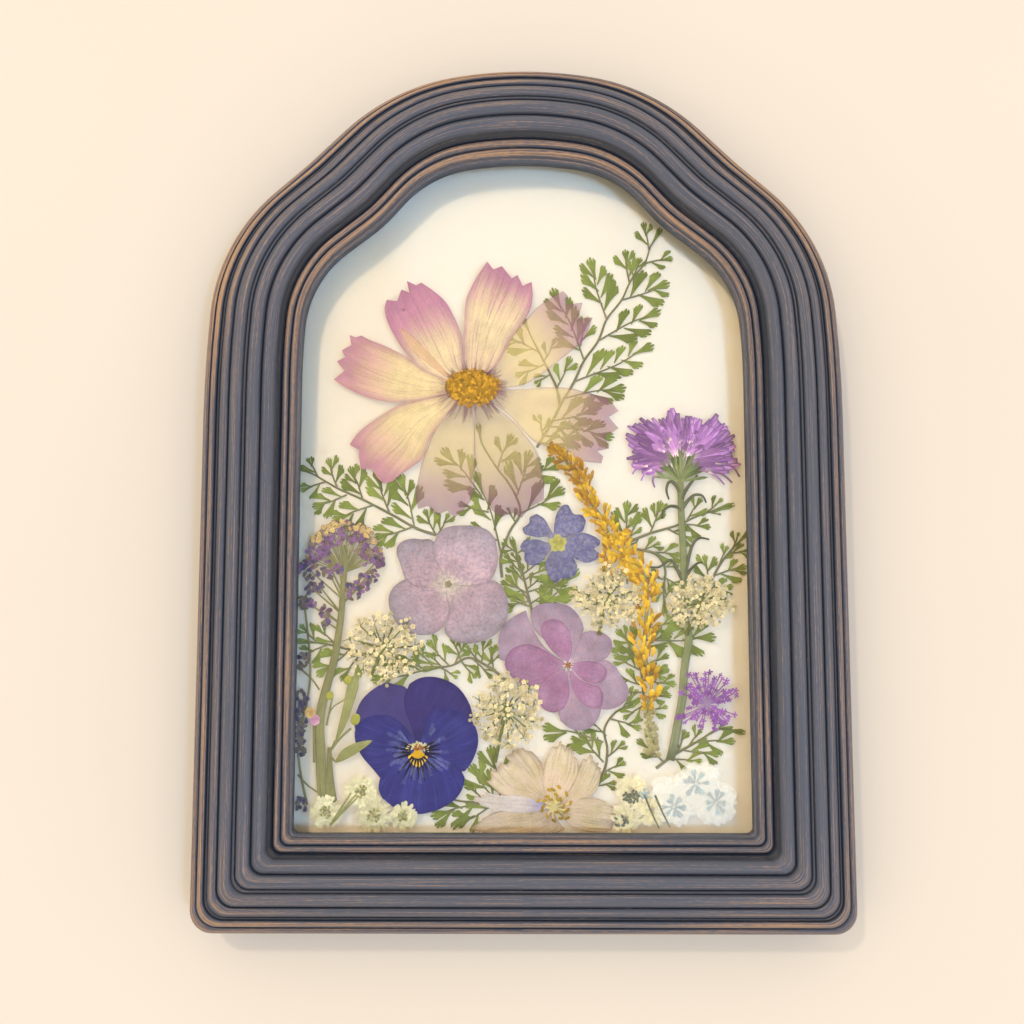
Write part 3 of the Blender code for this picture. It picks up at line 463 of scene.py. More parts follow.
def millboard():
    """Grey-brown millboard: pressed pulp with darker and paler flecks, quite matt."""
    made, tree, shader = finish("pulp_millboard", roughness=0.95, specular=0.2)
    place = add(tree, "TexCoord")
    pulp = add(tree, "TexNoise",
               {"Vector": place, "Scale": 900.0, "Detail": 5.0, "Roughness": 0.75})
    cloud = add(tree, "TexNoise", {"Vector": place, "Scale": 60.0, "Detail": 3.0})
    colour = add(
        tree, "ValToRGB", (pulp,), ramp=((0.32, "6A543A"), (0.55, "90785A"), (0.72, "B39C7C")))
    shade = add(tree, "MapRange", (cloud, 0.3, 0.7, 0.85, 1.1))
    colour = add(tree, "Mix", {0: 1.0, 6: colour, 7: shade}, blend_type="MULTIPLY")
    bump = add(tree, "Bump", {"Strength": 0.5, "Distance": 0.0001, "Height": pulp})
    fill(tree, shader, {"Base Color": colour, "Normal": bump})
    return made


def rolled_steel():
    """Cold rolled steel glazier's points: dull grey metal with fine lines along the strip."""
    made, tree, shader = finish("rolled_steel", base_color="A9AAA6", metallic=1.0)
    place = add(tree, "TexCoord")
    place = add(tree, "Mapping", {0: place, 3: (300.0, 5000.0, 300.0)})
    lines = add(tree, "TexNoise", {"Vector": place, "Scale": 1.0, "Detail": 3.0})
    roughness = add(tree, "MapRange", (lines, 0.3, 0.7, 0.28, 0.5))
    colour = add(tree, "ValToRGB", (lines,), ramp=((0.3, "8E8F8C"), (0.7, "B6B7B2")))
    fill(tree, shader, {"Base Color": colour, "Roughness": roughness})
    return made


def dress(node, material):
    """Gives a solid that is shown as it is a finish of its own."""
    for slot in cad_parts[node].material_slots:
        slot.material = material


class PRESSED_OT_glazing(bpy.types.Operator):
    """Build the pane of glass, and finish the paper, the board and its steel points"""
    bl_idname = "pressed.glazing"
    bl_label = "Glass and back"

    def execute(self, context):
        settings = context.scene.pressed_sheet
        low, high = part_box("glass")
        bm = bmesh.new()
        outline = arch(REBATE + PANE_CLEARANCE)
        verts = [bm.verts.new((x, y, low[2] / MM)) for x, y in outline]
        face = bm.faces.new(verts)
        raised = bmesh.ops.extrude_face_region(bm, geom=[face])["geom"]
        moved = [item for item in raised if isinstance(item, bmesh.types.BMVert)]
        bmesh.ops.translate(bm, verts=moved, vec=(0, 0, (high[2] - low[2]) / MM))
        bmesh.ops.recalc_face_normals(bm, faces=bm.faces)
        rims = [edge for edge in bm.edges
                if len(edge.link_faces) == 2 and any(len(f.verts) > 4 for f in edge.link_faces)]
        bmesh.ops.bevel(bm, geom=rims, offset=settings.glass_bevel / MM, segments=2, profile=0.5,
                        affect="EDGES", material=-1)
        pane = keep("glass_pane", bm, [clear_glass(settings)], "glass", smooth=5.0)
        pane.visible_shadow = False
        dress("backing_paper", aged_paper(settings))
        dress("back_board", millboard())
        steel = rolled_steel()
        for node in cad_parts:
            if node.startswith("back_point"):
                dress(node, steel)
        return {"FINISHED"}


# ---------------------------------------------------------------- pressed forms

def smooth_line(points, steps):
    """Evenly spaced points, this many steps in all, on a smooth curve through the points."""
    ends = [Vector(p) for p in (points[0], *points, points[-1])]
    fine = []
    for before, here, there, after in zip(ends, ends[1:], ends[2:], ends[3:]):
        for part in range(8):
            t = part / 8
            square = before * 2 - here * 5 + there * 4 - after
            cube = here * 3 - before - there * 3 + after
            fine.append((here * 2 + (there - before) * t + square * t ** 2 + cube * t ** 3) / 2)
    fine.append(ends[-1])
    reach = [0.0]
    for here, there in zip(fine, fine[1:]):
        reach.append(reach[-1] + (there - here).length)
    line, at = [], 0
    for step in range(steps + 1):
        goal = reach[-1] * step / steps
        while at < len(fine) - 2 and reach[at + 1] < goal:
            at += 1
        span = reach[at + 1] - reach[at]
        line.append(fine[at].lerp(fine[at + 1], min(1.0, (goal - reach[at]) / (span or 1.0))))
    return line


def toward(start, angle, distance):
    """The place at this distance from the start, at an angle in degrees."""
    turn = math.radians(angle)
    return (start[0] + distance * math.cos(turn), start[1] + distance * math.sin(turn))


def bearing(start, end):
    """The angle in degrees at which the end lies from the start."""
    return math.degrees(math.atan2(end[1] - start[1], end[0] - start[0]))


CLAW = 0.12  # how wide an oval petal is at its root, as a share of its width


def oval(heart, tip, width, fullness, notch, wander, seed):
    """A round petal's left side, tip and right side, from its claw to a notched end."""
    rng = random.Random(seed)
    angle, length = bearing(heart, tip), math.dist(heart, tip)
    sides = ([], [], [])
    steps, first, middle, last = 22, 8, 11, 14
    for step in range(steps + 1):
        turn = math.pi * step / steps
        share = math.sin(turn)
        half = max(CLAW, math.sqrt(max(0.0, 1 - (2 * share ** fullness - 1) ** 2))) / 2
        if first < step < last:
            edge = math.cos(math.pi * first / steps)
            half *= abs(math.cos(turn)) / edge if step != middle else 0.0
            share = 1 - notch * math.exp(-(half / 0.1) ** 2) - 0.06 * half
        reach = length * share * (1 + wander * (rng.random() - 0.5))
        side = 1 if step <= middle else -1
        point = toward(toward(heart, angle, reach), angle + 90 * side, width * half)
        sides[0 if step < first else 1 if step <= last else 2].append(point)
    return sides[0], sides[1], sides[2][::-1]


class Pressing:
    """One specimen: its forms are pressed in sheets of their own and joined in one mesh."""

    def __init__(self, node, seed):
        self.node = node
        self.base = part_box(node)[0][2] / MM
        self.thickness = bpy.context.scene.pressed_specimens.thickness / MM
        self.rng = random.Random(seed)
        # Without a seed, the frayed edges would follow the clock.
        noise.seed_set(seed)
        self.bm = bmesh.new()
        self.bm.loops.layers.uv.new("blade")
        self.bm.verts.layers.float.new("tint")

    def join(self, form, finish, tint):
        """Adds a form's own bmesh to the specimen's."""
        layer = form.verts.layers.float.new("tint")
        for vert in form.verts:
            vert[layer] = tint
        bmesh.ops.recalc_face_normals(form, faces=form.faces)
        for face in form.faces:
            face.material_index = finish
        mesh = bpy.data.meshes.new("form")
        form.to_mesh(mesh)
        form.free()
        self.bm.from_mesh(mesh)
        bpy.data.meshes.remove(mesh)

    def thicken(self, form, depth):
        """Gives an open sheet its underside, which stops at the specimen's own base."""
        raised = bmesh.ops.extrude_face_region(form, geom=form.faces[:])["geom"]
        for item in raised:
            if isinstance(item, bmesh.types.BMVert):
                item.co.z = max(item.co.z - depth, self.base)

    def sheet(self, columns, rows, place, finish, tint, depth=None):
        """A grid laid out by place(across, along), each from 0 to 1, in mm over the base."""
        form = bmesh.new()
        form.loops.layers.uv.new("blade")
        bmesh.ops.create_grid(form, x_segments=columns, y_segments=rows, size=1.0, calc_uvs=True)
        for vert in form.verts:
            x, y, z = place((vert.co.x + 1) / 2, (vert.co.y + 1) / 2)
            vert.co = (x, y, self.base + z)
        bmesh.ops.remove_doubles(form, verts=form.verts, dist=0.002)
        self.thicken(form, self.thickness if depth is None else depth)
        self.join(form, finish, tint)

    def petal(self, left, tip, right, lift=0.0, rows=16, columns=None, ripple=0.025, folds=3.0,
              pull=3.0, finish=0, tint=0.5, fray=0.0):
        """A petal or leaf between two smooth sides, its tip drawn point by point."""
        columns = columns or len(tip) - 1
        left = smooth_line([*left, tip[0]], rows)
        right = smooth_line([*right, tip[-1]], rows)
        tip = [Vector(point) for point in tip]
        phase = self.rng.random() * 50

        def place(u, v):
            row = round(v * rows)
            number = min(int(u * (len(tip) - 1)), len(tip) - 2)
            end = tip[number].lerp(tip[number + 1], u * (len(tip) - 1) - number)
            flat = left[row].lerp(right[row], u)
            flat += (end - left[-1].lerp(right[-1], u)) * v ** pull
            flat += fray * v ** 5 * noise.noise_vector(Vector((u * 22, phase, 0))).xy
            wave = noise.noise(Vector((u * folds, v * 1.3, phase)))
            return flat.x, flat.y, self.thickness + lift + ripple * (1 + wave)

        self.sheet(columns, rows, place, finish, tint)

    def stalk(self, points, start, end, lift=0.0, finish=1, tint=0.5, step=1.0, across=4):
        """A pressed stem, a low rounded band that narrows or widens along its line."""
        length = sum(math.dist(a, b) for a, b in zip(points, points[1:]))
        rows = max(2, round(length / step))
        line = smooth_line(points, rows)

        def place(u, v):
            row = round(v * rows)
            ahead = line[min(row + 1, rows)] - line[max(row - 1, 0)]
            side = Vector((-ahead.y, ahead.x)).normalized()
            width = start + (end - start) * v
            point = line[row] + side * width * (u - 0.5)
            crown = math.sqrt(max(0.0, 1 - (2 * u - 1) ** 2))
            return point.x, point.y, lift + 0.02 + min(0.2, 0.26 * width) * crown

        self.sheet(across, rows, place, finish, tint, depth=1.0)

    def bead(self, centre, radius, rise, lift=0.0, finish=2, tint=0.5, stretch=1.0, turn=0.0,
             detail=1):
        """A small round bud, anther or seed, flattened by the press."""
        form = bmesh.new()
        form.loops.layers.uv.new("blade")
        bmesh.ops.create_icosphere(form, subdivisions=detail, radius=1.0, calc_uvs=True)
        shape = (Matrix.Translation((centre[0], centre[1], self.base + lift + rise / 2))
                 @ Matrix.Rotation(math.radians(turn), 4, "Z")
                 @ Matrix.Diagonal((radius * stretch, radius, rise / 2, 1.0)))
        bmesh.ops.transform(form, matrix=shape, verts=form.verts)
        self.join(form, finish, tint)

    def floret(self, centre, radius, lobes, turn=0.0, lift=0.0, cup=0.05, waist=0.4, finish=0,
               tint=0.5, squash=1.0):
        """A tiny flat flower: a star of round lobes, its middle sunk below its rim."""
        form = bmesh.new()
        uv = form.loops.layers.uv.new("blade")
        bmesh.ops.create_circle(form, cap_ends=True, cap_tris=True, segments=lobes * 4, radius=1.0)
        rings = {}
        for vert in form.verts:
            out = math.hypot(vert.co.x, vert.co.y)
            angle = math.atan2(vert.co.y, vert.co.x)
            lobe = abs(math.cos(lobes * angle / 2)) ** 0.5
            reach = out * (waist + (1 - waist) * lobe)
            x = radius * reach * math.cos(angle)
            y = radius * reach * math.sin(angle) * squash
            spin = math.radians(turn)
            rings[vert] = reach
            vert.co = (centre[0] + x * math.cos(spin) - y * math.sin(spin),
                       centre[1] + x * math.sin(spin) + y * math.cos(spin),
                       self.base + self.thickness + lift + cup * out)
        for face in form.faces:
            for loop in face.loops:
                loop[uv].uv = (0.5, rings[loop.vert])
        self.thicken(form, self.thickness)
        self.join(form, finish, tint)

    def leaflet(self, root, tip, width, lobes=3, lift=0.0, finish=0, tint=0.5, cut=0.26,
                slope=0.0):
        """A fern's wedge: narrow at its stalk, with blunt notched lobes across its end."""
        angle, length = bearing(root, tip), math.dist(root, tip)
        rng = self.rng
        edge = []
        points = lobes * 4
        for step in range(points + 1):
            across = step / points
            # Each lobe is blunt and a little domed, and a deeper cut parts it from the next.
            deep = cut if step % 4 == 0 and 0 < step < points else 0.0
            small = -0.02 if step % 4 == 2 else 0.0
            slant = 0.12 * slope * (2 * across - 1)
            round_end = 1 + slant - 0.2 * (2 * across - 1) ** 2
            reach = length * (round_end - deep - small + 0.02 * (rng.random() - 0.5))
            edge.append(toward(toward(root, angle, reach), angle + 90, width * (0.5 - across)))
        left = [toward(root, angle + 90, 0.12),
                toward(toward(root, angle, length * 0.4), angle + 90, width * 0.2)]
        right = [toward(root, angle - 90, 0.12),
                 toward(toward(root, angle, length * 0.4), angle - 90, width * 0.2)]
        self.petal(left, edge, right, lift, rows=4, ripple=0.012, folds=2.0, pull=1.6,
                   finish=finish, tint=tint)

    def done(self, name, finishes):
        """Hands the finished specimen over as one piece."""
        piece = keep(name, self.bm, finishes, self.node, smooth=50.0)
        # Pressed tissue lies on the paper, so it throws no shadow there.
        piece.visible_shadow = False
        return piece


def tissue(name, colours, body=None, lines=4.0, veined=0.5, edged=0.4, shift=0.0, light=0.5,
           mottle=0.2, rough=0.78, opacity=1.0, relief=0.4, speckle=None, speckled=0.5,
           specks=1500.0, band=0.14):
    """Dried plant tissue: papery and matt, its colour running from root to tip, with fine
    darker veins along it, a browned margin and the soft blotches that pressing leaves. The
    colours are the body's, root's, tip's, veins' and edge's; those left out are the body's."""
    colours = ([body] if body else []) + colours.split()
    body, root, tip, vein, edge = colours + colours[:1] * (5 - len(colours))
    made, tree, shader = finish(name, roughness=rough, specular=0.25, alpha=opacity)
    place = add(tree, "TexCoord")
    uv = add(tree, "UVMap", uv_map="blade")
    across = add(tree, "SeparateXYZ", (uv,))
    along = add(tree, "SeparateXYZ", (uv,), out=1)
    tint = add(tree, "Attribute", attribute_name="tint")
    # Blotches of about 3 mm move the colours' places along the petal.
    cloud = add(tree, "TexNoise", {"Vector": place, "Scale": 330.0, "Detail": 3.0})
    shifted = add(tree, "Math", (cloud, 0.3, along), operation="MULTIPLY_ADD")
    shifted = add(tree, "Math", (shifted, -0.15 - shift / 2), operation="ADD")
    shifted = add(tree, "Math", (tint, shift, shifted), operation="MULTIPLY_ADD")
    colour = add(
        tree, "ValToRGB", (shifted,), ramp=((0.0, root), (0.95, tip), (0.35, body), (0.6, body)))
    # Veins run from root to tip.
    lanes = add(tree, "Mapping", {0: uv, 3: (lines, 1.6, 1.0)})
    streak = add(
        tree, "TexNoise",
        {"Vector": lanes, "Scale": 1.0, "Detail": 3.0, "Roughness": 0.6, "Distortion": 0.25})
    veins = add(tree, "MapRange", (streak, 0.5, 0.66, 0.0, veined))
    colour = add(tree, "Mix", {0: veins, 6: colour, 7: vein})
    rim = add(tree, "Math", (across, 2.0, -1.0), operation="MULTIPLY_ADD")
    rim = add(tree, "Math", (rim,), operation="ABSOLUTE")
    rim = add(tree, "MapRange", (rim, 1.0 - band, 1.0, 0.0, edged))
    end = add(tree, "MapRange", (along, 1.0 - band / 2, 1.0, 0.0, edged))
    margin = add(tree, "Math", (rim, end), operation="MAXIMUM")
    colour = add(tree, "Mix", {0: margin, 6: colour, 7: edge})
    if speckle:
        # Pressing breaks the cells, which leaves grains of another colour all over.
        cells = add(
            tree, "TexNoise", {"Vector": place, "Scale": specks, "Detail": 2.0, "Roughness": 0.7})
        spots = add(tree, "MapRange", (cells, 0.42, 0.64, 0.0, speckled))
        colour = add(tree, "Mix", {0: spots, 6: colour, 7: speckle})
    # Light and dark: each form's own tint, the blotches, and a grain of about 0.3 mm.
    grain = add(tree, "TexNoise", {"Vector": place, "Scale": 2600.0, "Detail": 3.0})
    tone = add(tree, "MapRange", (tint, 0.0, 1.0, 1 - light / 2, 1 + light / 2))
    patch = add(tree, "MapRange", (cloud, 0.3, 0.7, 1 - mottle / 2, 1 + mottle / 2))
    tone = add(tree, "Math", (tone, patch), operation="MULTIPLY")
    fleck = add(tree, "MapRange", (grain, 0.3, 0.7, 0.93, 1.07))
    tone = add(tree, "Math", (tone, fleck), operation="MULTIPLY")
    colour = add(tree, "Mix", {0: 1.0, 6: colour, 7: tone}, blend_type="MULTIPLY")
    bump = add(tree, "Bump", {"Strength": relief, "Distance": 0.00012, "Height": streak})
    bump = add(tree, "Bump",
               {"Strength": relief * 0.5, "Distance": 0.00004, "Height": grain, "Normal": bump})
    fill(tree, shader, {"Base Color": colour, "Normal": bump})
    return made


# ---------------------------------------------------------------- cosmos

COSMOS_HEART = (-10.5, 110.2)
# Each petal: finish, tint, lift, its first side from the root, the teeth across its end and
# its other side from the root.
COSMOS_PETALS = [
    (0, 0.6, 0.10, [(-15, 111.4), (-20.5, 113.8), (-24, 116.5), (-28.5, 118.8), (-32, 120.2)],
     [(-33.8, 121.2), (-35, 120.8), (-36.3, 121.3), (-35.9, 119.2), (-37.9, 118), (-37.1, 116.6),
      (-38.9, 115.7), (-37.2, 113.7), (-39.5, 111.8), (-37.4, 110.4)],
     [(-14.5, 109.2), (-19.5, 107.8), (-25, 107), (-30, 107.4), (-34.5, 108.9)]),
    (1, 0.7, 0.05, [(-12.4, 112), (-12.5, 118.5), (-13, 122), (-14.5, 125.5), (-16.3, 128.6)],
     [(-19, 131), (-21.3, 132.6), (-22.4, 132), (-24.4, 133), (-23.8, 130.4), (-25.5, 131.1),
      (-26.4, 128.6), (-28.6, 128.9), (-29, 127.2)],
     [(-15, 111.2), (-21, 113.7), (-24.5, 117.5), (-26.8, 121), (-28.6, 124.8)]),
    (1, 0.42, 0.14, [(-7, 112), (-4, 117), (-2, 121), (0.5, 124.5), (1.8, 127)],
     [(2.2, 130), (2, 132.7), (0.1, 131.8), (-1, 134.2), (-2.2, 133.4), (-4.3, 136.1),
      (-6.1, 135.4), (-7.4, 137.1), (-9.5, 134)],
     [(-12, 112), (-12.3, 118), (-12.3, 122), (-12, 128), (-11, 131)]),
    (2, 0.7, 0.08, [(-7, 109.6), (-1, 110.3), (2, 111.5), (5.5, 114), (8, 116), (11.5, 118.8)],
     [(13.2, 120.5), (14.8, 125), (11.8, 124.8), (12.7, 128.2), (9.2, 127.8), (9.5, 129.8),
      (8.6, 130.7), (6, 129.2)],
     [(-8, 112), (-4.5, 117), (-3, 120), (-1, 122.5), (0.6, 124.3), (3, 127)]),
    (2, 0.5, 0.04, [(-7.5, 107.4), (-3, 104.5), (0, 101.2), (3.5, 98), (9, 97), (11.8, 94.7)],
     [(16.4, 94.1), (16.8, 95.5), (15.6, 96.6), (18, 97.2), (17.2, 99.8), (20, 101.4),
      (18, 103.8), (20.1, 105.1), (17.5, 108)],
     [(-7, 109.4), (0, 109.7), (5, 110.1), (10, 109.9), (14, 108.8)]),
    (2, 0.1, 0.12, [(-10, 107.4), (-10, 99), (-9.8, 95), (-9, 90), (-7.5, 87)],
     [(-6.3, 84.3), (-4.5, 82.8), (-2, 83.8), (-0.2, 82.7), (1.8, 85.1), (4.4, 86.4),
      (4.5, 88.5)],
     [(-7.6, 107.6), (-2, 103), (0.5, 100), (2.8, 97), (3.7, 94), (4.3, 91)]),
    (2, 0.25, 0.0, [(-13.6, 107.4), (-18, 101.5), (-19.5, 98), (-20.8, 94.5), (-21.8, 90)],
     [(-22.1, 87), (-21.6, 84.5), (-19.6, 85.2), (-17.5, 83.3), (-15.6, 84.2), (-14, 82.8),
      (-12, 84.5), (-10.6, 86.5)],
     [(-10.3, 107.4), (-9.9, 100), (-9.9, 95), (-9.9, 90)]),
    (0, 0.5, 0.03, [(-14.6, 109), (-21, 107.6), (-26, 106.3), (-30, 103.8), (-34, 100.8)],
     [(-36, 98), (-34, 96.9), (-34, 95.6), (-33.6, 92.9), (-31.2, 93), (-30.2, 91.1),
      (-28.8, 89.9), (-27, 90.3), (-25.5, 91.7)],
     [(-13, 107.6), (-18.5, 100.5), (-20.3, 96), (-21, 94.8), (-23.5, 93)]),
]


class PRESSED_OT_cosmos(bpy.types.Operator):
    """Build the large pink and cream cosmos with its golden disc"""
    bl_idname = "pressed.cosmos"
    bl_label = "Cosmos"

    def execute(self, context):
        flower = Pressing("cosmos", 11)
        for kind, tint, lift, left, tip, right in COSMOS_PETALS:
            flower.petal(right, tip[::-1], left, lift, rows=22, columns=(len(tip) - 1) * 3,
                         folds=4.0, ripple=0.03, pull=4.0, finish=kind, tint=tint)
        # The disc: a low mound of withered florets.
        flower.bead(COSMOS_HEART, 3.7, 0.4, finish=3, tint=0.3, stretch=1.56, detail=3)
        rng = flower.rng
        for _ in range(230):
            angle, out = rng.uniform(0, 360), math.sqrt(rng.random())
            low = 1.14 if math.sin(math.radians(angle)) < 0 else 1.0
            x = COSMOS_HEART[0] + 5.9 * out * math.cos(math.radians(angle))
            y = COSMOS_HEART[1] + 3.7 * low * out * math.sin(math.radians(angle))
            flower.bead(
                (x, y), rng.uniform(0.25, 0.42), 0.16, 0.2 * (1 - out ** 3) + 0.17, finish=3,
                tint=rng.random(), stretch=rng.uniform(1.0, 1.8), turn=rng.uniform(0, 180))
        # The petals are bruised mauve where they meet the disc, in short rays.
        for _ in range(110):
            angle = rng.uniform(0, 360)
            root = (COSMOS_HEART[0] + 5.2 * math.cos(math.radians(angle)),
                    COSMOS_HEART[1] + 3.2 * math.sin(math.radians(angle)))
            reach = rng.uniform(1.2, 2.6) + 2.2 * max(0.0, -math.sin(math.radians(angle)))
            end = toward(root, angle + rng.uniform(-12, 12), reach)
            flower.stalk([root, end], rng.uniform(0.5, 0.9), 0.15, lift=0.21, finish=4,
                         tint=rng.random(), across=2)
        # One petal is folded over along its left side, and shows its paler back.
        flower.petal(
            [(-15.8, 112.4), (-19.5, 114.8), (-23.6, 118.6)],
            [(-25.8, 122.2), (-26.2, 122.9), (-25.2, 122.6)],
            [(-15.4, 112.9), (-18.8, 116.6), (-22.6, 120.6)], 0.19, rows=12, ripple=0.03, finish=5)
        flower.bead((-25, 126.7), 0.42, 0.1, 0.2, finish=4, tint=0.2, stretch=1.2)
        flower.done(
            "cosmos_bloom",
            [tissue("dried_cosmos_petal_cream", "EBCF98 DDBE90 D49C96 C09282 B0728A", lines=28,
                    shift=0.7, light=0.0, veined=0.6, edged=0.62, relief=0.8, band=0.3),
             tissue("dried_cosmos_petal_pink", "EACFA0 E2C29C CB8C9C B8788A A86C88", lines=24,
                    shift=0.9, light=0.0, veined=0.7, edged=0.6, relief=0.8, band=0.32),
             tissue("dried_cosmos_petal_thin", "DCC284 86706A 8A5078 96785C 5E2E52", lines=22,
                    light=0.6, veined=0.6, edged=0.8, opacity=0.3, relief=0.7, band=0.1),
             tissue("dried_disc_florets", "BE8A20 9A6A12 D4A63E 80520E A87818", lines=6,
                    light=1.1),
             tissue("dried_cosmos_bruise", "7E5C68 6E555C 97807E", lines=3, opacity=0.2),
             tissue("dried_cosmos_fold", "E0B88C DDB084 D8A490 C08A74 B9776E", lines=9, light=0.0,
                    edged=0.6)])
        return {"FINISHED"}


# ---------------------------------------------------------------- ferns

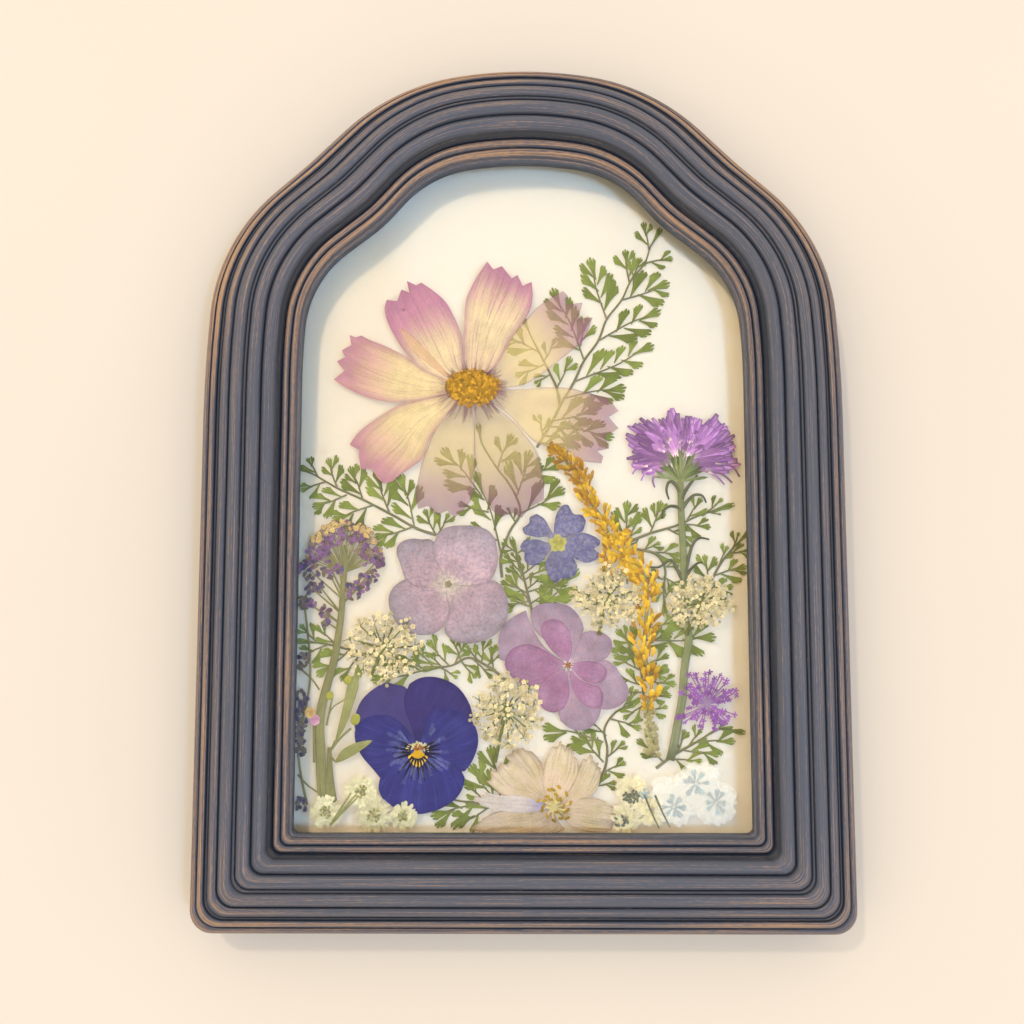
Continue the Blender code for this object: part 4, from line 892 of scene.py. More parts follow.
# Each spray: its stalk, and its side shoots as (x, y, tip x, tip y, leaflets).
FERNS = {
    "fern_top_right": (
        [(3, 97.5), (6, 102.5), (8, 106.5), (10.8, 111.3), (13, 116), (16, 120.2), (17.8, 124.8),
         (21, 129), (23, 133.2), (26, 137), (27.2, 140.5), (29.2, 144)],
        [(6.5, 103.2, 16, 105.5, 4), (9, 108, 21.8, 110.2, 6), (4.5, 100, 12.6, 99.6, 4),
         (5.6, 102, 19.2, 99.6, 6), (3.6, 98.6, 9.2, 97.9, 3), (4.4, 99.8, 3.6, 104.6, 2),
         (11.2, 111.6, 27.7, 119.3, 9), (16.2, 120.3, 29.2, 126.8, 7), (21.2, 129, 31.2, 132.7, 5),
         (26, 136.9, 32, 138, 3), (26.9, 139.5, 25.7, 146, 3), (22.7, 132.6, 21.8, 140, 4),
         (23, 133.2, 25.2, 138.2, 2), (17.8, 124.8, 14.3, 138.2, 8), (13, 116, 6.3, 131.6, 9),
         (12.2, 119, 13.9, 125.4, 2)]),
    "fern_upper_middle": (
        [(7.9, 106.2), (7.2, 110), (5.5, 113.8), (3.6, 117.6), (1.8, 121.2), (0.3, 124.6)],
        [(7.2, 110, 10.2, 116.8, 3), (5.9, 113, 2.4, 111, 2), (4.6, 115.8, 7, 120.6, 2),
         (4.8, 115.2, -1.6, 112.5, 3), (3.6, 117.6, -4.4, 121.5, 4)]),
    "fern_centre": (
        [(-4.2, 70.4), (-4.4, 75), (-2.6, 80), (-0.4, 84), (-2.2, 89), (-5.5, 93.5), (-8.5, 98.5),
         (-9.2, 102)],
        [(-0.6, 83.6, 8.9, 88.9, 4), (-1.4, 81.8, -3.2, 85, 2), (-1.4, 86.8, 1.6, 97, 5),
         (-5.2, 93, -2.2, 100.5, 4), (-4.4, 75.5, -9.8, 92.5, 6), (-7, 84, -13.5, 85.8, 3),
         (-8.4, 87.2, -16.8, 97.5, 6), (0.2, 91.6, 8, 93.6, 3)]),
    "fern_left": (
        [(-17.8, 79.2), (-22, 80.6), (-27, 83.4), (-33, 86.5), (-38.5, 89), (-43, 91.6),
         (-46.2, 93.2)],
        [(-42.6, 91.4, -45, 95.4, 2), (-38.5, 89, -40.6, 95.4, 4), (-33.2, 86.6, -36, 93.6, 5),
         (-27.6, 83.8, -30.6, 92.8, 6), (-22.4, 80.8, -25.6, 92.2, 7), (-18, 79.3, -20.4, 84.6, 4),
         (-41, 90.3, -46.2, 88.4, 3), (-36.5, 87.6, -43.7, 85, 5), (-31, 85.4, -39.6, 82, 5),
         (-23, 80.8, -30.8, 78.6, 5), (-17.6, 79.2, -15.2, 83.8, 2)]),
    "fern_left_low": (
        [(-31, 54.6), (-36, 55.8), (-41, 56.9), (-46.2, 57.4)],
        [(-38, 56.2, -42.8, 60.6, 3), (-42, 57, -45.8, 60.8, 2), (-40, 56.6, -45.4, 54.2, 2),
         (-35.4, 55.6, -42.2, 50.2, 4), (-33, 55, -37.2, 49.2, 3)]),
    "fern_heart": (
        [(2.2, 61.5), (1.6, 65), (0.6, 69), (-0.4, 73), (-2.2, 78.2)],
        [(-0.3, 72.6, -2.4, 75.6, 1), (0.4, 69.6, -2.6, 73, 2), (1, 67.2, -4.6, 69.6, 3),
         (1.7, 64.4, -2.6, 66, 2), (0.8, 68, 4.4, 71, 3), (1.6, 65, 6.2, 67.6, 3),
         (2, 63, 11.6, 72.2, 6), (-1.2, 75.2, 2.6, 78, 3), (0, 71, 4.6, 75, 3),
         (1.4, 65.6, -3.8, 64.6, 3), (1.5, 65.5, -3.4, 70.8, 3), (0.5, 70, 5.6, 72.6, 3),
         (1.8, 64, 7.4, 65, 3), (1, 67.4, 9.4, 69.4, 4), (-1.4, 75.6, -4.4, 77.6, 2),
         (0.2, 71, -3.8, 75.4, 2)]),
    "fern_low_heart": (
        [(-3.4, 49.5), (-7, 52.2), (-11, 54), (-14.6, 52.4), (-20.4, 51.6)],
        [(-6, 51.6, -6.6, 56.4, 2), (-9, 53.4, -11.6, 56.6, 3), (-12.6, 53.4, -14.6, 58.2, 3),
         (-15, 52.4, -19.6, 57.6, 4), (-16.5, 52, -19, 54.6, 2), (-19, 51.8, -31, 49.4, 5),
         (-12.6, 53.4, -9.4, 49.8, 3), (-10, 53.6, -6.2, 49.8, 3), (-7.4, 52.3, -3.6, 55.6, 3),
         (-16.8, 52, -13.2, 49.8, 2), (-8.4, 52.9, -8, 57.8, 3), (-13.8, 52.8, -11.4, 57.6, 3),
         (-18, 51.8, -22.4, 56.2, 3), (-20, 51.7, -25, 54.4, 3)]),
    "fern_bottom": (
        [(-4.2, 24.6), (-8, 24.8), (-12.5, 25.2), (-16, 26)],
        [(-8, 24.8, -18.6, 22.2, 4), (-6, 24.6, -13.4, 20.2, 4), (-7.6, 24.9, -11, 28.4, 3),
         (-5, 24.8, -10.8, 32.6, 4), (-4.4, 24.8, -6.6, 36.4, 4)]),
    "fern_low_right": (
        [(13.4, 27.4), (16.4, 31), (17.2, 35.5), (16.6, 39.6), (19, 43), (22.6, 44.6)],
        [(14, 28.2, 19, 29, 3), (16.2, 30.8, 21, 33, 3), (17.1, 34, 20.8, 37.2, 3),
         (16.4, 33, 11.6, 39, 5), (17, 38.2, 12.6, 42.2, 3), (18, 41.6, 24.2, 39.6, 3),
         (16.4, 37, 4, 40.2, 4), (20.4, 43.8, 23.6, 47.6, 2)]),
    "fern_right_upper": (
        [(20.8, 77.2), (26, 79.4), (32, 81.2), (37, 83.4), (43.4, 85.4)],
        [(20.9, 77.4, 21.8, 86.4, 5), (22, 78, 24, 82.6, 2), (26.4, 79.6, 28.8, 86.4, 5),
         (34, 82, 37.2, 87, 3), (38, 83.8, 41.6, 86.8, 1), (32.6, 81.4, 39, 80.8, 3),
         (38.6, 84, 41.2, 83.4, 1), (24, 78.6, 22.6, 76, 1), (30, 80.5, 35.6, 78, 3)]),
    "fern_right_middle": (
        [(23.6, 76.2), (27.6, 75.2), (29.4, 72), (29, 68), (29.2, 63)],
        [(24.4, 76, 28.6, 77.6, 2), (26.6, 75.6, 32.6, 75, 4), (29, 72.6, 32.4, 72.8, 2),
         (29, 70, 25.6, 71.2, 2), (29.1, 66, 31, 69.4, 2), (29, 70.5, 32.4, 68.4, 3),
         (29.2, 67.4, 26.2, 66.4, 3), (29.2, 64.6, 31.8, 64.6, 2)]),
    "fern_right_edge": (
        [(36, 66), (38.4, 69), (40.8, 73.2), (43.6, 76.6), (47, 80)],
        [(38.2, 69, 37.6, 75.2, 4), (40.6, 73, 42.4, 77, 2), (43.4, 76.4, 44.8, 79.8, 1),
         (39.6, 70.8, 46.2, 72.8, 4), (42.4, 75.4, 46.8, 76, 2), (37, 67.4, 43.4, 68.6, 4)]),
    "fern_behind_goldenrod": (
        [(26.6, 36), (25.4, 42), (24.6, 47), (24.2, 53), (25.2, 58), (26.4, 62)],
        [(25.2, 57.6, 39.6, 58.2, 7), (25.8, 59.8, 31.4, 61.4, 3), (24.4, 54.6, 19.2, 59.8, 5),
         (24.3, 51.4, 18.6, 54.6, 3), (24.4, 49.6, 31.4, 48.6, 4), (24.3, 52, 30, 54.6, 3),
         (24.6, 47, 18.8, 46.8, 3), (25.2, 43, 29.6, 44.2, 3), (25, 44.6, 20.4, 41.6, 3),
         (24.6, 55.6, 29.8, 59.4, 4), (24.4, 50.4, 30, 51.6, 4), (24.8, 46, 30.4, 46.4, 3),
         (24.4, 53.4, 18.9, 57.2, 4), (24.6, 48.4, 19, 50.4, 3)]),
    "fern_bottom_right": (
        [(27, 31.8), (31, 34.6), (36, 37.4), (40, 39.6), (44.6, 39)],
        [(31.4, 34.8, 33, 39.6, 2), (33.6, 36, 36.4, 39.6, 2), (38, 38.6, 41.8, 41.2, 2),
         (35.4, 37, 43.2, 37.2, 2), (32.6, 35.4, 40, 34.6, 3), (29.6, 33.6, 36.6, 33, 2),
         (28.6, 33, 23.2, 37.6, 3)]),
}
# A shoot's leaflets: their lean in degrees, the share of the counted ones that stand along it,
# and where they start and how far they run as shares of its length. Then, in mm, the reach of
# the longest one at its side and at its end, and the reach from which one has three lobes.
SHOOT_LEAN = 40.0
SIDE_SHARE = 0.78
FIRST_LEAFLET = 0.1
LEAFLET_RUN = 0.62
LONGEST_LEAFLET = 5.8
LONGEST_END = 5.0
THREE_LOBED = 3.7


def fern_shoot(fern, start, tip, leaflets, number):
    """A side shoot: its thread of a stalk, leaflets by turns to either side, and an end one."""
    rng = fern.rng
    length, angle = math.dist(start, tip), bearing(start, tip)
    side = 1 if number % 2 else -1
    bend = toward(toward(start, angle, length * 0.5), angle + 90, length * 0.03 * side)
    stop = toward(start, angle, length * 0.78)
    fern.stalk([start, bend, stop], 0.4, 0.24, lift=0.03, tint=rng.uniform(0.3, 0.7), across=3)
    count = max(2, round(leaflets * SIDE_SHARE)) if leaflets > 1 else 1
    for step in range(count):
        share = FIRST_LEAFLET + LEAFLET_RUN * (step + 0.4) / count
        side = -side
        root = toward(start, angle, length * share)
        reach = min(LONGEST_LEAFLET, 0.8 + length * 0.46) * (1.14 - 0.6 * share)
        reach *= rng.uniform(0.86, 1.14)
        end = toward(root, angle + side * SHOOT_LEAN * rng.uniform(0.8, 1.15), reach)
        fern.leaflet(root, end, reach * rng.uniform(0.36, 0.46), 2 if reach < THREE_LOBED else 3,
                     lift=rng.uniform(0.0, 0.05), tint=rng.random(), cut=rng.uniform(0.08, 0.19),
                     slope=side)
    reach = min(LONGEST_END, length * 0.5)
    root = toward(start, angle, length - reach)
    fern.leaflet(root, tip, reach * 0.42, 3, lift=0.04, tint=rng.random(), cut=0.2)


class PRESSED_OT_ferns(bpy.types.Operator):
    """Build the sprays of pressed fern"""
    bl_idname = "pressed.ferns"
    bl_label = "Ferns"

    def execute(self, context):
        settings = context.scene.pressed_specimens
        leaf = tissue("dried_fern_leaflet", "7A7C48 828B3E 6F7A34 6B7236", tuple(settings.fern),
                      lines=9, light=0.45, mottle=0.3, edged=0.5)
        stalk = tissue(
            "dried_fern_stalk", "7F7A56 8B8468 77784A 5F5A40 5C5A3C", lines=5, light=0.4)
        for seed, (node, (line, shoots)) in enumerate(FERNS.items()):
            fern = Pressing(node, 30 + seed)
            fern.stalk(line, 0.62, 0.3, lift=0.03)
            # The stalk ends in a small leaflet of its own.
            fern.leaflet(line[-2], toward(line[-1], bearing(line[-2], line[-1]), 0.8), 1.3, 2,
                         lift=0.04, cut=0.4)
            for number, (x, y, tip_x, tip_y, leaflets) in enumerate(shoots):
                fern_shoot(fern, (x, y), (tip_x, tip_y), leaflets, number)
            fern.done(node + "_spray", [leaf, stalk])
        return {"FINISHED"}


# ---------------------------------------------------------------- single flowers

# Each petal, from the lowest up: finish, tint, lift, one side, the tip and the other side.
HYDRANGEA = [
    (0, 0.35, 0.00, [(-15.5, 68.5), (-15.7, 66.6), (-15, 64.1), (-15.2, 62.2), (-15.9, 60.2),
                     (-15.6, 58.7)],
     [(-13.7, 57.2), (-10.8, 56.9), (-7.8, 57.5), (-5.1, 59.1), (-3.4, 61.4), (-2.8, 63.9)],
     [(-14.8, 69), (-12.3, 68.7), (-9.3, 68.8), (-6.9, 69.8), (-4.9, 69.3), (-3.4, 67.1)]),
    (0, 0.45, 0.05, [(-16, 69.1), (-18.2, 69.3), (-21.2, 69.8), (-23.7, 70.1), (-25.4, 69.3)],
     [(-26.6, 68.3), (-27.4, 66.6), (-27.4, 64.6), (-26.7, 62.6), (-25.5, 60.7), (-23.5, 59.1),
      (-20.6, 58.6)],
     [(-15.5, 68.3), (-15.7, 66.6), (-15, 64.1), (-15.2, 62.2), (-16.3, 60.2), (-18.2, 58.9)]),
    (0, 0.30, 0.10, [(-15.9, 68.8), (-18.2, 68.3), (-21.2, 68.4), (-23.2, 69.1), (-24.2, 70.4),
                     (-24.8, 72)],
     [(-25.2, 73.4), (-25.8, 74.8), (-25.9, 76.2), (-25.4, 77.3), (-24.1, 78.1), (-22.3, 78.4),
      (-20.7, 78.2), (-19.3, 78.3), (-18.2, 77.7)],
     [(-15.5, 69.8), (-16.5, 71.5), (-17.5, 73.3), (-18.1, 75.2)]),
    (0, 0.75, 0.15, [(-15.5, 69.6), (-16.5, 71.5), (-17.7, 73.5), (-18.3, 75.7), (-18.2, 77.5)],
     [(-17.6, 79), (-16.3, 80.4), (-14.3, 81), (-11.6, 81.1), (-8.9, 80.8), (-7, 80),
      (-5.6, 78.4)],
     [(-14.9, 69.1), (-12.3, 68.7), (-8.8, 68.9), (-6.6, 69.8), (-5.4, 72), (-5, 74.5)]),
]
VERBENA_HEART = (7.3, 77.4)
VERBENA = [
    (0, 0.5, 0.00, [(6.2, 77.8), (5, 77.6), (3, 78.2)],
     [(0.3, 78.1), (-0.5, 76.6), (0.4, 75.6), (0.4, 74), (1.3, 73)],
     [(6.2, 76.6), (4.6, 74.6), (3, 73)]),
    (0, 0.35, 0.06, [(6.6, 76.6), (4.8, 73.6), (5, 71.5)],
     [(6, 69.8), (7, 69.3), (7.9, 70.2), (9.5, 70.2), (11, 71.1), (11.2, 73)],
     [(8.2, 76.4), (9, 75.8), (10.2, 74.8)]),
    (0, 0.4, 0.12, [(8.2, 78.2), (9.6, 78.6), (12, 79.6), (14.5, 79)],
     [(16, 78), (15.8, 77), (14.7, 76.3), (15.9, 75.2), (15.2, 74)],
     [(8.4, 76.6), (9, 75.8), (10.6, 74.4), (13, 73.4)]),
    (0, 0.45, 0.04, [(6.7, 78.2), (6.5, 80.4), (7, 83.4)],
     [(8.3, 85.3), (9.4, 85.4), (10.2, 84), (10.8, 83.4), (12.3, 83.3), (13.1, 82)],
     [(8.2, 78.4), (10.4, 79.2), (12.4, 80)]),
    (0, 0.6, 0.09, [(6.2, 78), (5, 78.8), (3, 78.7)],
     [(0.5, 79.3), (0, 80.5), (1.4, 81.6), (1.5, 82.8), (3, 83.5)],
     [(7, 78.6), (6, 79.9), (4.6, 82.4)]),
]
VIOLA_HEART = (-21.2, 35.3)
VIOLA = [
    (0, 0.5, 0.00, [(-21.9, 36.2), (-24.3, 37.2), (-27.8, 37.2), (-31.2, 37.2), (-33.4, 38.1)],
     [(-34.3, 40.8), (-33.9, 42.9), (-32.8, 45.4), (-30.8, 47.4), (-28.1, 48.9), (-25.9, 48.6),
      (-24.1, 48.2)],
     [(-20.7, 36.9), (-21.2, 40.3), (-21.6, 43.2), (-22.4, 46.4)]),
    (1, 0.5, 0.05, [(-21.5, 36.8), (-22.7, 40.3), (-23.8, 43.2), (-24.1, 46.1)],
     [(-23, 48.8), (-21, 49.9), (-18.6, 50.2), (-16.1, 49.7), (-13.7, 48.5), (-11.9, 46.6),
      (-10.6, 44.2), (-10.1, 42)],
     [(-20.3, 36.5), (-18, 37.4), (-15.1, 38.9), (-12.2, 40.2)]),
    (2, 0.35, 0.10, [(-22.3, 34.3), (-25.3, 32.6), (-27.4, 30.7)],
     [(-28.8, 29.9), (-30.6, 32), (-32.4, 34), (-33.6, 36.1), (-34.1, 38.4), (-33.7, 40.3),
      (-32.2, 41.7), (-29.8, 42.5), (-26.8, 42.3)],
     [(-21.7, 36), (-22.6, 38.4), (-24.6, 40.8)]),
    (2, 0.42, 0.12, [(-20.7, 36.5), (-20.2, 38.9), (-19.9, 40.8), (-19.5, 42.2)],
     [(-18.5, 43.2), (-17.1, 43.8), (-14.9, 43.8), (-12.7, 43), (-10.6, 41.7), (-9.3, 39.4),
      (-9, 37), (-9.6, 34.6), (-10.6, 32.6), (-11.7, 31.3)],
     [(-19.9, 34.4), (-17, 32.6), (-14.3, 31.1)]),
    (2, 0.55, 0.17, [(-22.4, 34.3), (-25.3, 33.1), (-27.7, 31.6)],
     [(-28.8, 29.9), (-29.1, 27.8), (-28.3, 25.9), (-27.6, 25.4), (-26.3, 24.3), (-23.7, 23.2),
      (-22.8, 23.6), (-21.1, 22.8), (-18.4, 23.2), (-16, 24.1), (-13.6, 25.7), (-12.1, 27.9),
      (-11.7, 30)],
     [(-19.7, 34.3), (-16, 33.1), (-13.1, 32.1)]),
]
DOUBLE_HEART = (9.3, 52.5)
DOUBLE = [
    (1, 0.5, 0.00, [(8.4, 53.1), (4.4, 56.3), (1.8, 60.5)],
     [(0.7, 63.7), (-1.3, 62.7), (-3.3, 61.3), (-4.6, 59), (-5, 56.3), (-4.6, 53.7)],
     [(8.1, 52.5), (3.4, 52.1), (-1.4, 52.5)]),
    (1, 0.35, 0.03, [(8.9, 53.1), (4.7, 57.4), (2.3, 60)],
     [(1.6, 62.6), (2.3, 64.3), (4.5, 65.1), (7.4, 65.1), (9.9, 64.3), (11.8, 62.1), (12.5, 60)],
     [(9.8, 53.1), (10.8, 55.3), (12, 57.6)]),
    (1, 0.65, 0.06, [(10, 52.4), (13.4, 52.7), (16.6, 53.6)],
     [(18.8, 52.5), (20.3, 50.1), (21.5, 47.8), (21.3, 45.9), (19.8, 44.4), (17.7, 43.6),
      (15.8, 43.7)],
     [(9.6, 51.3), (12.4, 47.9), (14.5, 45.3)]),
    (1, 0.45, 0.10, [(9.7, 53.1), (11.3, 56.8), (12.3, 58.9)],
     [(13.8, 59.5), (15.9, 59.3), (17.9, 58), (18.3, 56), (17.3, 54.1)],
     [(10, 52.4), (12.9, 52.7), (15.8, 53.3)]),
    (1, 0.40, 0.09, [(8.8, 50.8), (7.7, 46.4), (7.2, 43.5)],
     [(7.7, 41.3), (9.6, 39.8), (12, 39.4), (14.1, 40.2), (15.4, 41.9), (16, 43.8)],
     [(10, 50.8), (12, 48.2), (14.7, 45.8)]),
    (0, 0.35, 0.11, [(8.7, 52.9), (6, 54.6), (3.4, 56.1)],
     [(1.2, 56.8), (-0.8, 56.5), (-2.7, 55.3), (-3.7, 53.1), (-2.9, 50.9), (-0.9, 49.1),
      (1.6, 48)],
     [(8.3, 52.2), (6.8, 50.9), (4.1, 48.9)]),
    (0, 0.65, 0.16, [(8.7, 53.1), (6, 55.5), (4.3, 57.9)],
     [(3.7, 59.7), (4.4, 61.3), (6.3, 61.9), (8.2, 61.2), (9.7, 59.4)],
     [(9.4, 53.1), (10.1, 55.8), (9.9, 57.6)]),
    (0, 0.45, 0.15, [(9.1, 51.3), (9.4, 48.4), (9.4, 46.1)],
     [(8.4, 43.8), (6.5, 43), (4.5, 43.5), (3.3, 45), (3.1, 46.7)],
     [(8.4, 51.8), (5.7, 50.6), (3.8, 48.7)]),
    (0, 0.6, 0.18, [(9.8, 51.7), (11.8, 49.5), (13.9, 48.7)],
     [(15.6, 48.2), (16.4, 46.3), (15.9, 44.1), (14.3, 43.8), (12.6, 44.4)],
     [(9.4, 51.3), (10, 48.4), (11.1, 45.9)]),
    (0, 0.55, 0.22, [(10, 52.8), (12.4, 53.3), (14.8, 53.2)],
     [(16.2, 52.7), (17.2, 51.5), (16.9, 50), (15.8, 49), (14.1, 48.8)],
     [(10, 52.1), (11.3, 50.4), (12.8, 49.3)]),
]
LARKSPUR_HEART = (6.2, 24.2)
LARKSPUR = [
    (0, 0.1, 0.00, [(5.3, 23.3), (3.4, 21.5), (1.9, 20)],
     [(1.4, 19.1), (4, 18.9), (6.9, 18.9)],
     [(6.3, 23), (7.5, 21), (8.4, 19.7)]),
    (0, 0.3, 0.03, [(4.9, 23.9), (1.1, 23.8), (-4.2, 23.5)],
     [(-7.7, 22), (-9.5, 20.5), (-9.9, 19.4), (-5.9, 19)],
     [(5.5, 23.3), (4.6, 20.4), (-0.1, 19)]),
    (0, 0.35, 0.06, [(6.9, 24.4), (11.6, 26), (15.7, 25.7)],
     [(18, 24.4), (19.3, 22.8), (18.6, 21), (16.8, 19.5)],
     [(6.9, 23.3), (9.8, 20.4), (13.3, 19.3)]),
    (0, 0.4, 0.10, [(4.7, 25), (-0.7, 25.8), (-4.5, 26.7)],
     [(-6.8, 29), (-6.4, 31.2), (-4.9, 31.6), (-4.3, 32.9), (-3.1, 33.3), (-2.6, 35),
      (-0.4, 35.9), (1.8, 35.2)],
     [(5.5, 25.3), (4.7, 29), (3.9, 32.7)]),
    (0, 0.45, 0.06, [(6.5, 24.9), (9.3, 27.3), (11.2, 31.3)],
     [(12.4, 33.3), (13.8, 34.4), (14.6, 33.1), (15.2, 33.2), (15.7, 30.2)],
     [(6.9, 24.1), (11.6, 25.3), (14.8, 27.3)]),
    (0, 0.6, 0.14, [(5.1, 25), (4, 29), (4.5, 33)],
     [(6.1, 35.6), (7.1, 36.1), (7.8, 37.2), (8.8, 36.2), (9.6, 35.9), (10.8, 33.6)],
     [(6.3, 25), (9.3, 27.3), (11.1, 30.7)]),
    (1, 0.5, 0.18, [(4.7, 24.9), (-0.1, 26.4), (-4.2, 26.5)],
     [(-7, 27.1), (-8.2, 26.3), (-9.6, 26), (-8.3, 24.7), (-5.4, 23.8)],
     [(4.7, 23.8), (1.1, 23.1), (-2.4, 23.2)]),
]
ANTHERS = [
    (5.2, 28.3), (7.6, 29), (9.4, 27.4), (2.6, 25.8), (10.4, 25.2), (9.6, 21.6), (3.7, 24.4),
    (4.7, 26.7), (6.9, 27.2), (8, 26), (5.5, 26), (4, 25.7), (8.7, 24.4), (9, 23.1), (8, 21.5),
    (6.9, 23), (3.4, 23.5), (4.7, 22.1), (6.3, 21), (7.2, 26.1), (6.1, 28.4), (9.7, 23.5)]


def lay_petals(flower, petals, rows=18, ripple=0.03, folds=3.0, fine=3, fray=0.0):
    """Presses the petals of a table, their tips drawn as smooth curves."""
    for kind, tint, lift, left, tip, right in petals:
        flower.petal(left, smooth_line(tip, (len(tip) - 1) * fine), right, lift, rows=rows,
                     ripple=ripple, folds=folds, pull=4.0, finish=kind, tint=tint, fray=fray)


class PRESSED_OT_hydrangea(bpy.types.Operator):
    """Build the four mauve sepals of the hydrangea floret"""
    bl_idname = "pressed.hydrangea"
    bl_label = "Hydrangea floret"

    def execute(self, context):
        flower = Pressing("hydrangea_floret", 2)
        lay_petals(flower, HYDRANGEA)
        flower.bead((-15.2, 69), 0.75, 0.3, 0.12, finish=1)
        for number in range(5):
            flower.bead(toward((-15.2, 69), number * 72, 0.6), 0.25, 0.2, 0.2, finish=1, tint=0.9)
        flower.done(
            "hydrangea_bloom",
            [tissue("dried_hydrangea_sepal", "C8A4A8 E4D0B2 B29CA2 A08D95 86716F", lines=11,
                    light=0.35, mottle=0.3, veined=0.35, edged=0.6, speckle="7E7A88"),
             tissue("dried_hydrangea_eye", "948666 7C6F52 A39570", light=0.4, lines=16)])
        return {"FINISHED"}


class PRESSED_OT_verbena(bpy.types.Operator):
    """Build the blue verbena with its green-gold eye"""
    bl_idname = "pressed.verbena"
    bl_label = "Verbena"

    def execute(self, context):
        flower = Pressing("verbena", 3)
        lay_petals(flower, VERBENA, rows=14)
        flower.floret(VERBENA_HEART, 1.9, 5, turn=20, lift=0.17, waist=0.75, finish=1)
        for number in range(9):
            flower.bead(toward(VERBENA_HEART, number * 40, 0.8), 0.4, 0.14, 0.2, finish=1,
                        tint=flower.rng.random())
        flower.done(
            "verbena_bloom",
            [tissue("dried_verbena_petal", "6F6A8E 938AA0 6A668A 56527A 423F6C", lines=10,
                    light=0.3, edged=0.8, mottle=0.4, speckle="A49AA8", speckled=0.6),
             tissue("dried_verbena_eye", "B5A958 9A9148 C9BE78", lines=16)])
        return {"FINISHED"}


class PRESSED_OT_viola(bpy.types.Operator):
    """Build the deep blue viola and the face at its heart"""
    bl_idname = "pressed.viola"
    bl_label = "Viola"

    def execute(self, context):
        flower = Pressing("viola", 4)
        lay_petals(flower, VIOLA)
        rng = flower.rng
        # The face: pale streaks and black whiskers fan out round a golden tongue, under a
        # brown throat with a tuft of cream hairs at each side.
        for _ in range(46):
            angle = rng.choice(
                (rng.uniform(205, 335), rng.uniform(120, 215), rng.uniform(-35, 60)))
            root = toward(VIOLA_HEART, angle, rng.uniform(1.8, 4.2))
            end = toward(root, angle + rng.uniform(-6, 6), rng.uniform(1.6, 3.6))
            flower.stalk([root, end], 0.4, 0.8, lift=0.23, finish=6, tint=rng.random(), across=2)
        for angle in (*range(226, 326, 15), *range(148, 206, 13), *range(-24, 38, 13)):
            below = 222 <= angle < 326
            root = toward(VIOLA_HEART, angle, 1.5)
            end = toward(root, angle + rng.uniform(-4, 4),
                         rng.uniform(3.6, 5.0) if below else rng.uniform(2.4, 3.8))
            flower.stalk([root, end], 0.8, 0.12, lift=0.25, finish=4, tint=rng.random(), across=2)
        for angle in range(216, 325, 12):
            strap(flower, toward(VIOLA_HEART, angle, 0.2), angle, 3.1 - abs(angle - 270) * 0.016,
                  0.62, 0.0, 0.29, finish=5, tint=rng.random(), blunt=0.5, rows=3)
        flower.bead(toward(VIOLA_HEART, 270, 0.6), 0.85, 0.14, 0.27, finish=5, tint=0.4,
                    stretch=1.25, detail=2)
        for _ in range(14):
            strap(flower, toward(VIOLA_HEART, rng.uniform(0, 180), rng.uniform(0.1, 0.9)),
                  rng.uniform(20, 160), rng.uniform(0.5, 1.0), 0.4, 0.0, 0.32, finish=7,
                  tint=rng.random(), rows=3)
        # The hairs stand in an arch over the tongue, thickest at its two ends.
        for _ in range(130):
            angle = rng.choice((rng.uniform(-8, 40), rng.uniform(140, 188), rng.uniform(20, 160)))
            root = toward(VIOLA_HEART, angle, rng.uniform(1.0, 1.9))
            root = (root[0], VIOLA_HEART[1] + 0.3 + (root[1] - VIOLA_HEART[1]) * 0.6)
            strap(flower, root, angle + rng.uniform(-50, 50), rng.uniform(0.4, 0.75), 0.22, 0.0,
                  0.31, finish=3, tint=rng.random(), rows=2)
        flower.done(
            "viola_bloom",
            [tissue("dried_viola_petal_violet", "44396F 3A336E 483D72 433A74 3A3264", lines=26,
                    light=0.3, rough=0.7),
             tissue("dried_viola_petal_indigo", "382A68 2A2562 3A2E6C 2A2258 241C50", lines=26,
                    light=0.3, rough=0.7),
             tissue("dried_viola_petal_blue", "312E74 4E4E92 302C70 5454A0 231F60", lines=26,
                    light=0.3, mottle=0.35, rough=0.7, veined=0.25),
             tissue("dried_viola_hair", "D6C494", light=0.6),
             tissue("dried_viola_whisker", "14112C", light=0.3),
             tissue("dried_viola_tongue", "E4AC1C BE841A F3C638", light=0.3),
             tissue("dried_viola_streak", "8088C4", light=0.4, opacity=0.13),
             tissue("dried_viola_throat", "9A5F22 7C4418 B67E3C")])
        return {"FINISHED"}


class PRESSED_OT_double_floret(bpy.types.Operator):
    """Build the mauve double floret with its magenta inner petals"""
    bl_idname = "pressed.double_floret"
    bl_label = "Double floret"

    def execute(self, context):
        flower = Pressing("double_floret", 5)
        lay_petals(flower, DOUBLE)
        flower.bead(DOUBLE_HEART, 0.5, 0.16, 0.26, tint=0.3)
        for number in range(7):
            flower.bead(toward(DOUBLE_HEART, number * 51, 0.55), 0.22, 0.14, 0.26,
                        tint=flower.rng.random())
        for angle in (10, 70, 130, 190, 250, 300, 340):
            flower.stalk([DOUBLE_HEART, toward(DOUBLE_HEART, angle, 1.3)], 0.4, 0.2, lift=0.23,
                         finish=3, across=2)
        flower.done(
            "double_floret_bloom",
            [tissue("dried_floret_inner", "AC7490 BE90A4 AE7E96 BC92A6 8A5672", lines=13,
                    light=0.35, veined=0.4, edged=0.7, mottle=0.3, speckle="8D7090"),
             tissue("dried_floret_outer", "B8949E CCB0B2 AE8E9A A08090 947688", lines=13,
                    light=0.35, veined=0.4, edged=0.6, mottle=0.35, speckle="968C9C",
                    speckled=0.6),
             tissue("dried_floret_eye", "A2683C 8A4E2A C79A66", light=0.6, lines=16),
             tissue("dried_floret_claw", "E4D3D2", light=0.3, lines=16)])
        return {"FINISHED"}


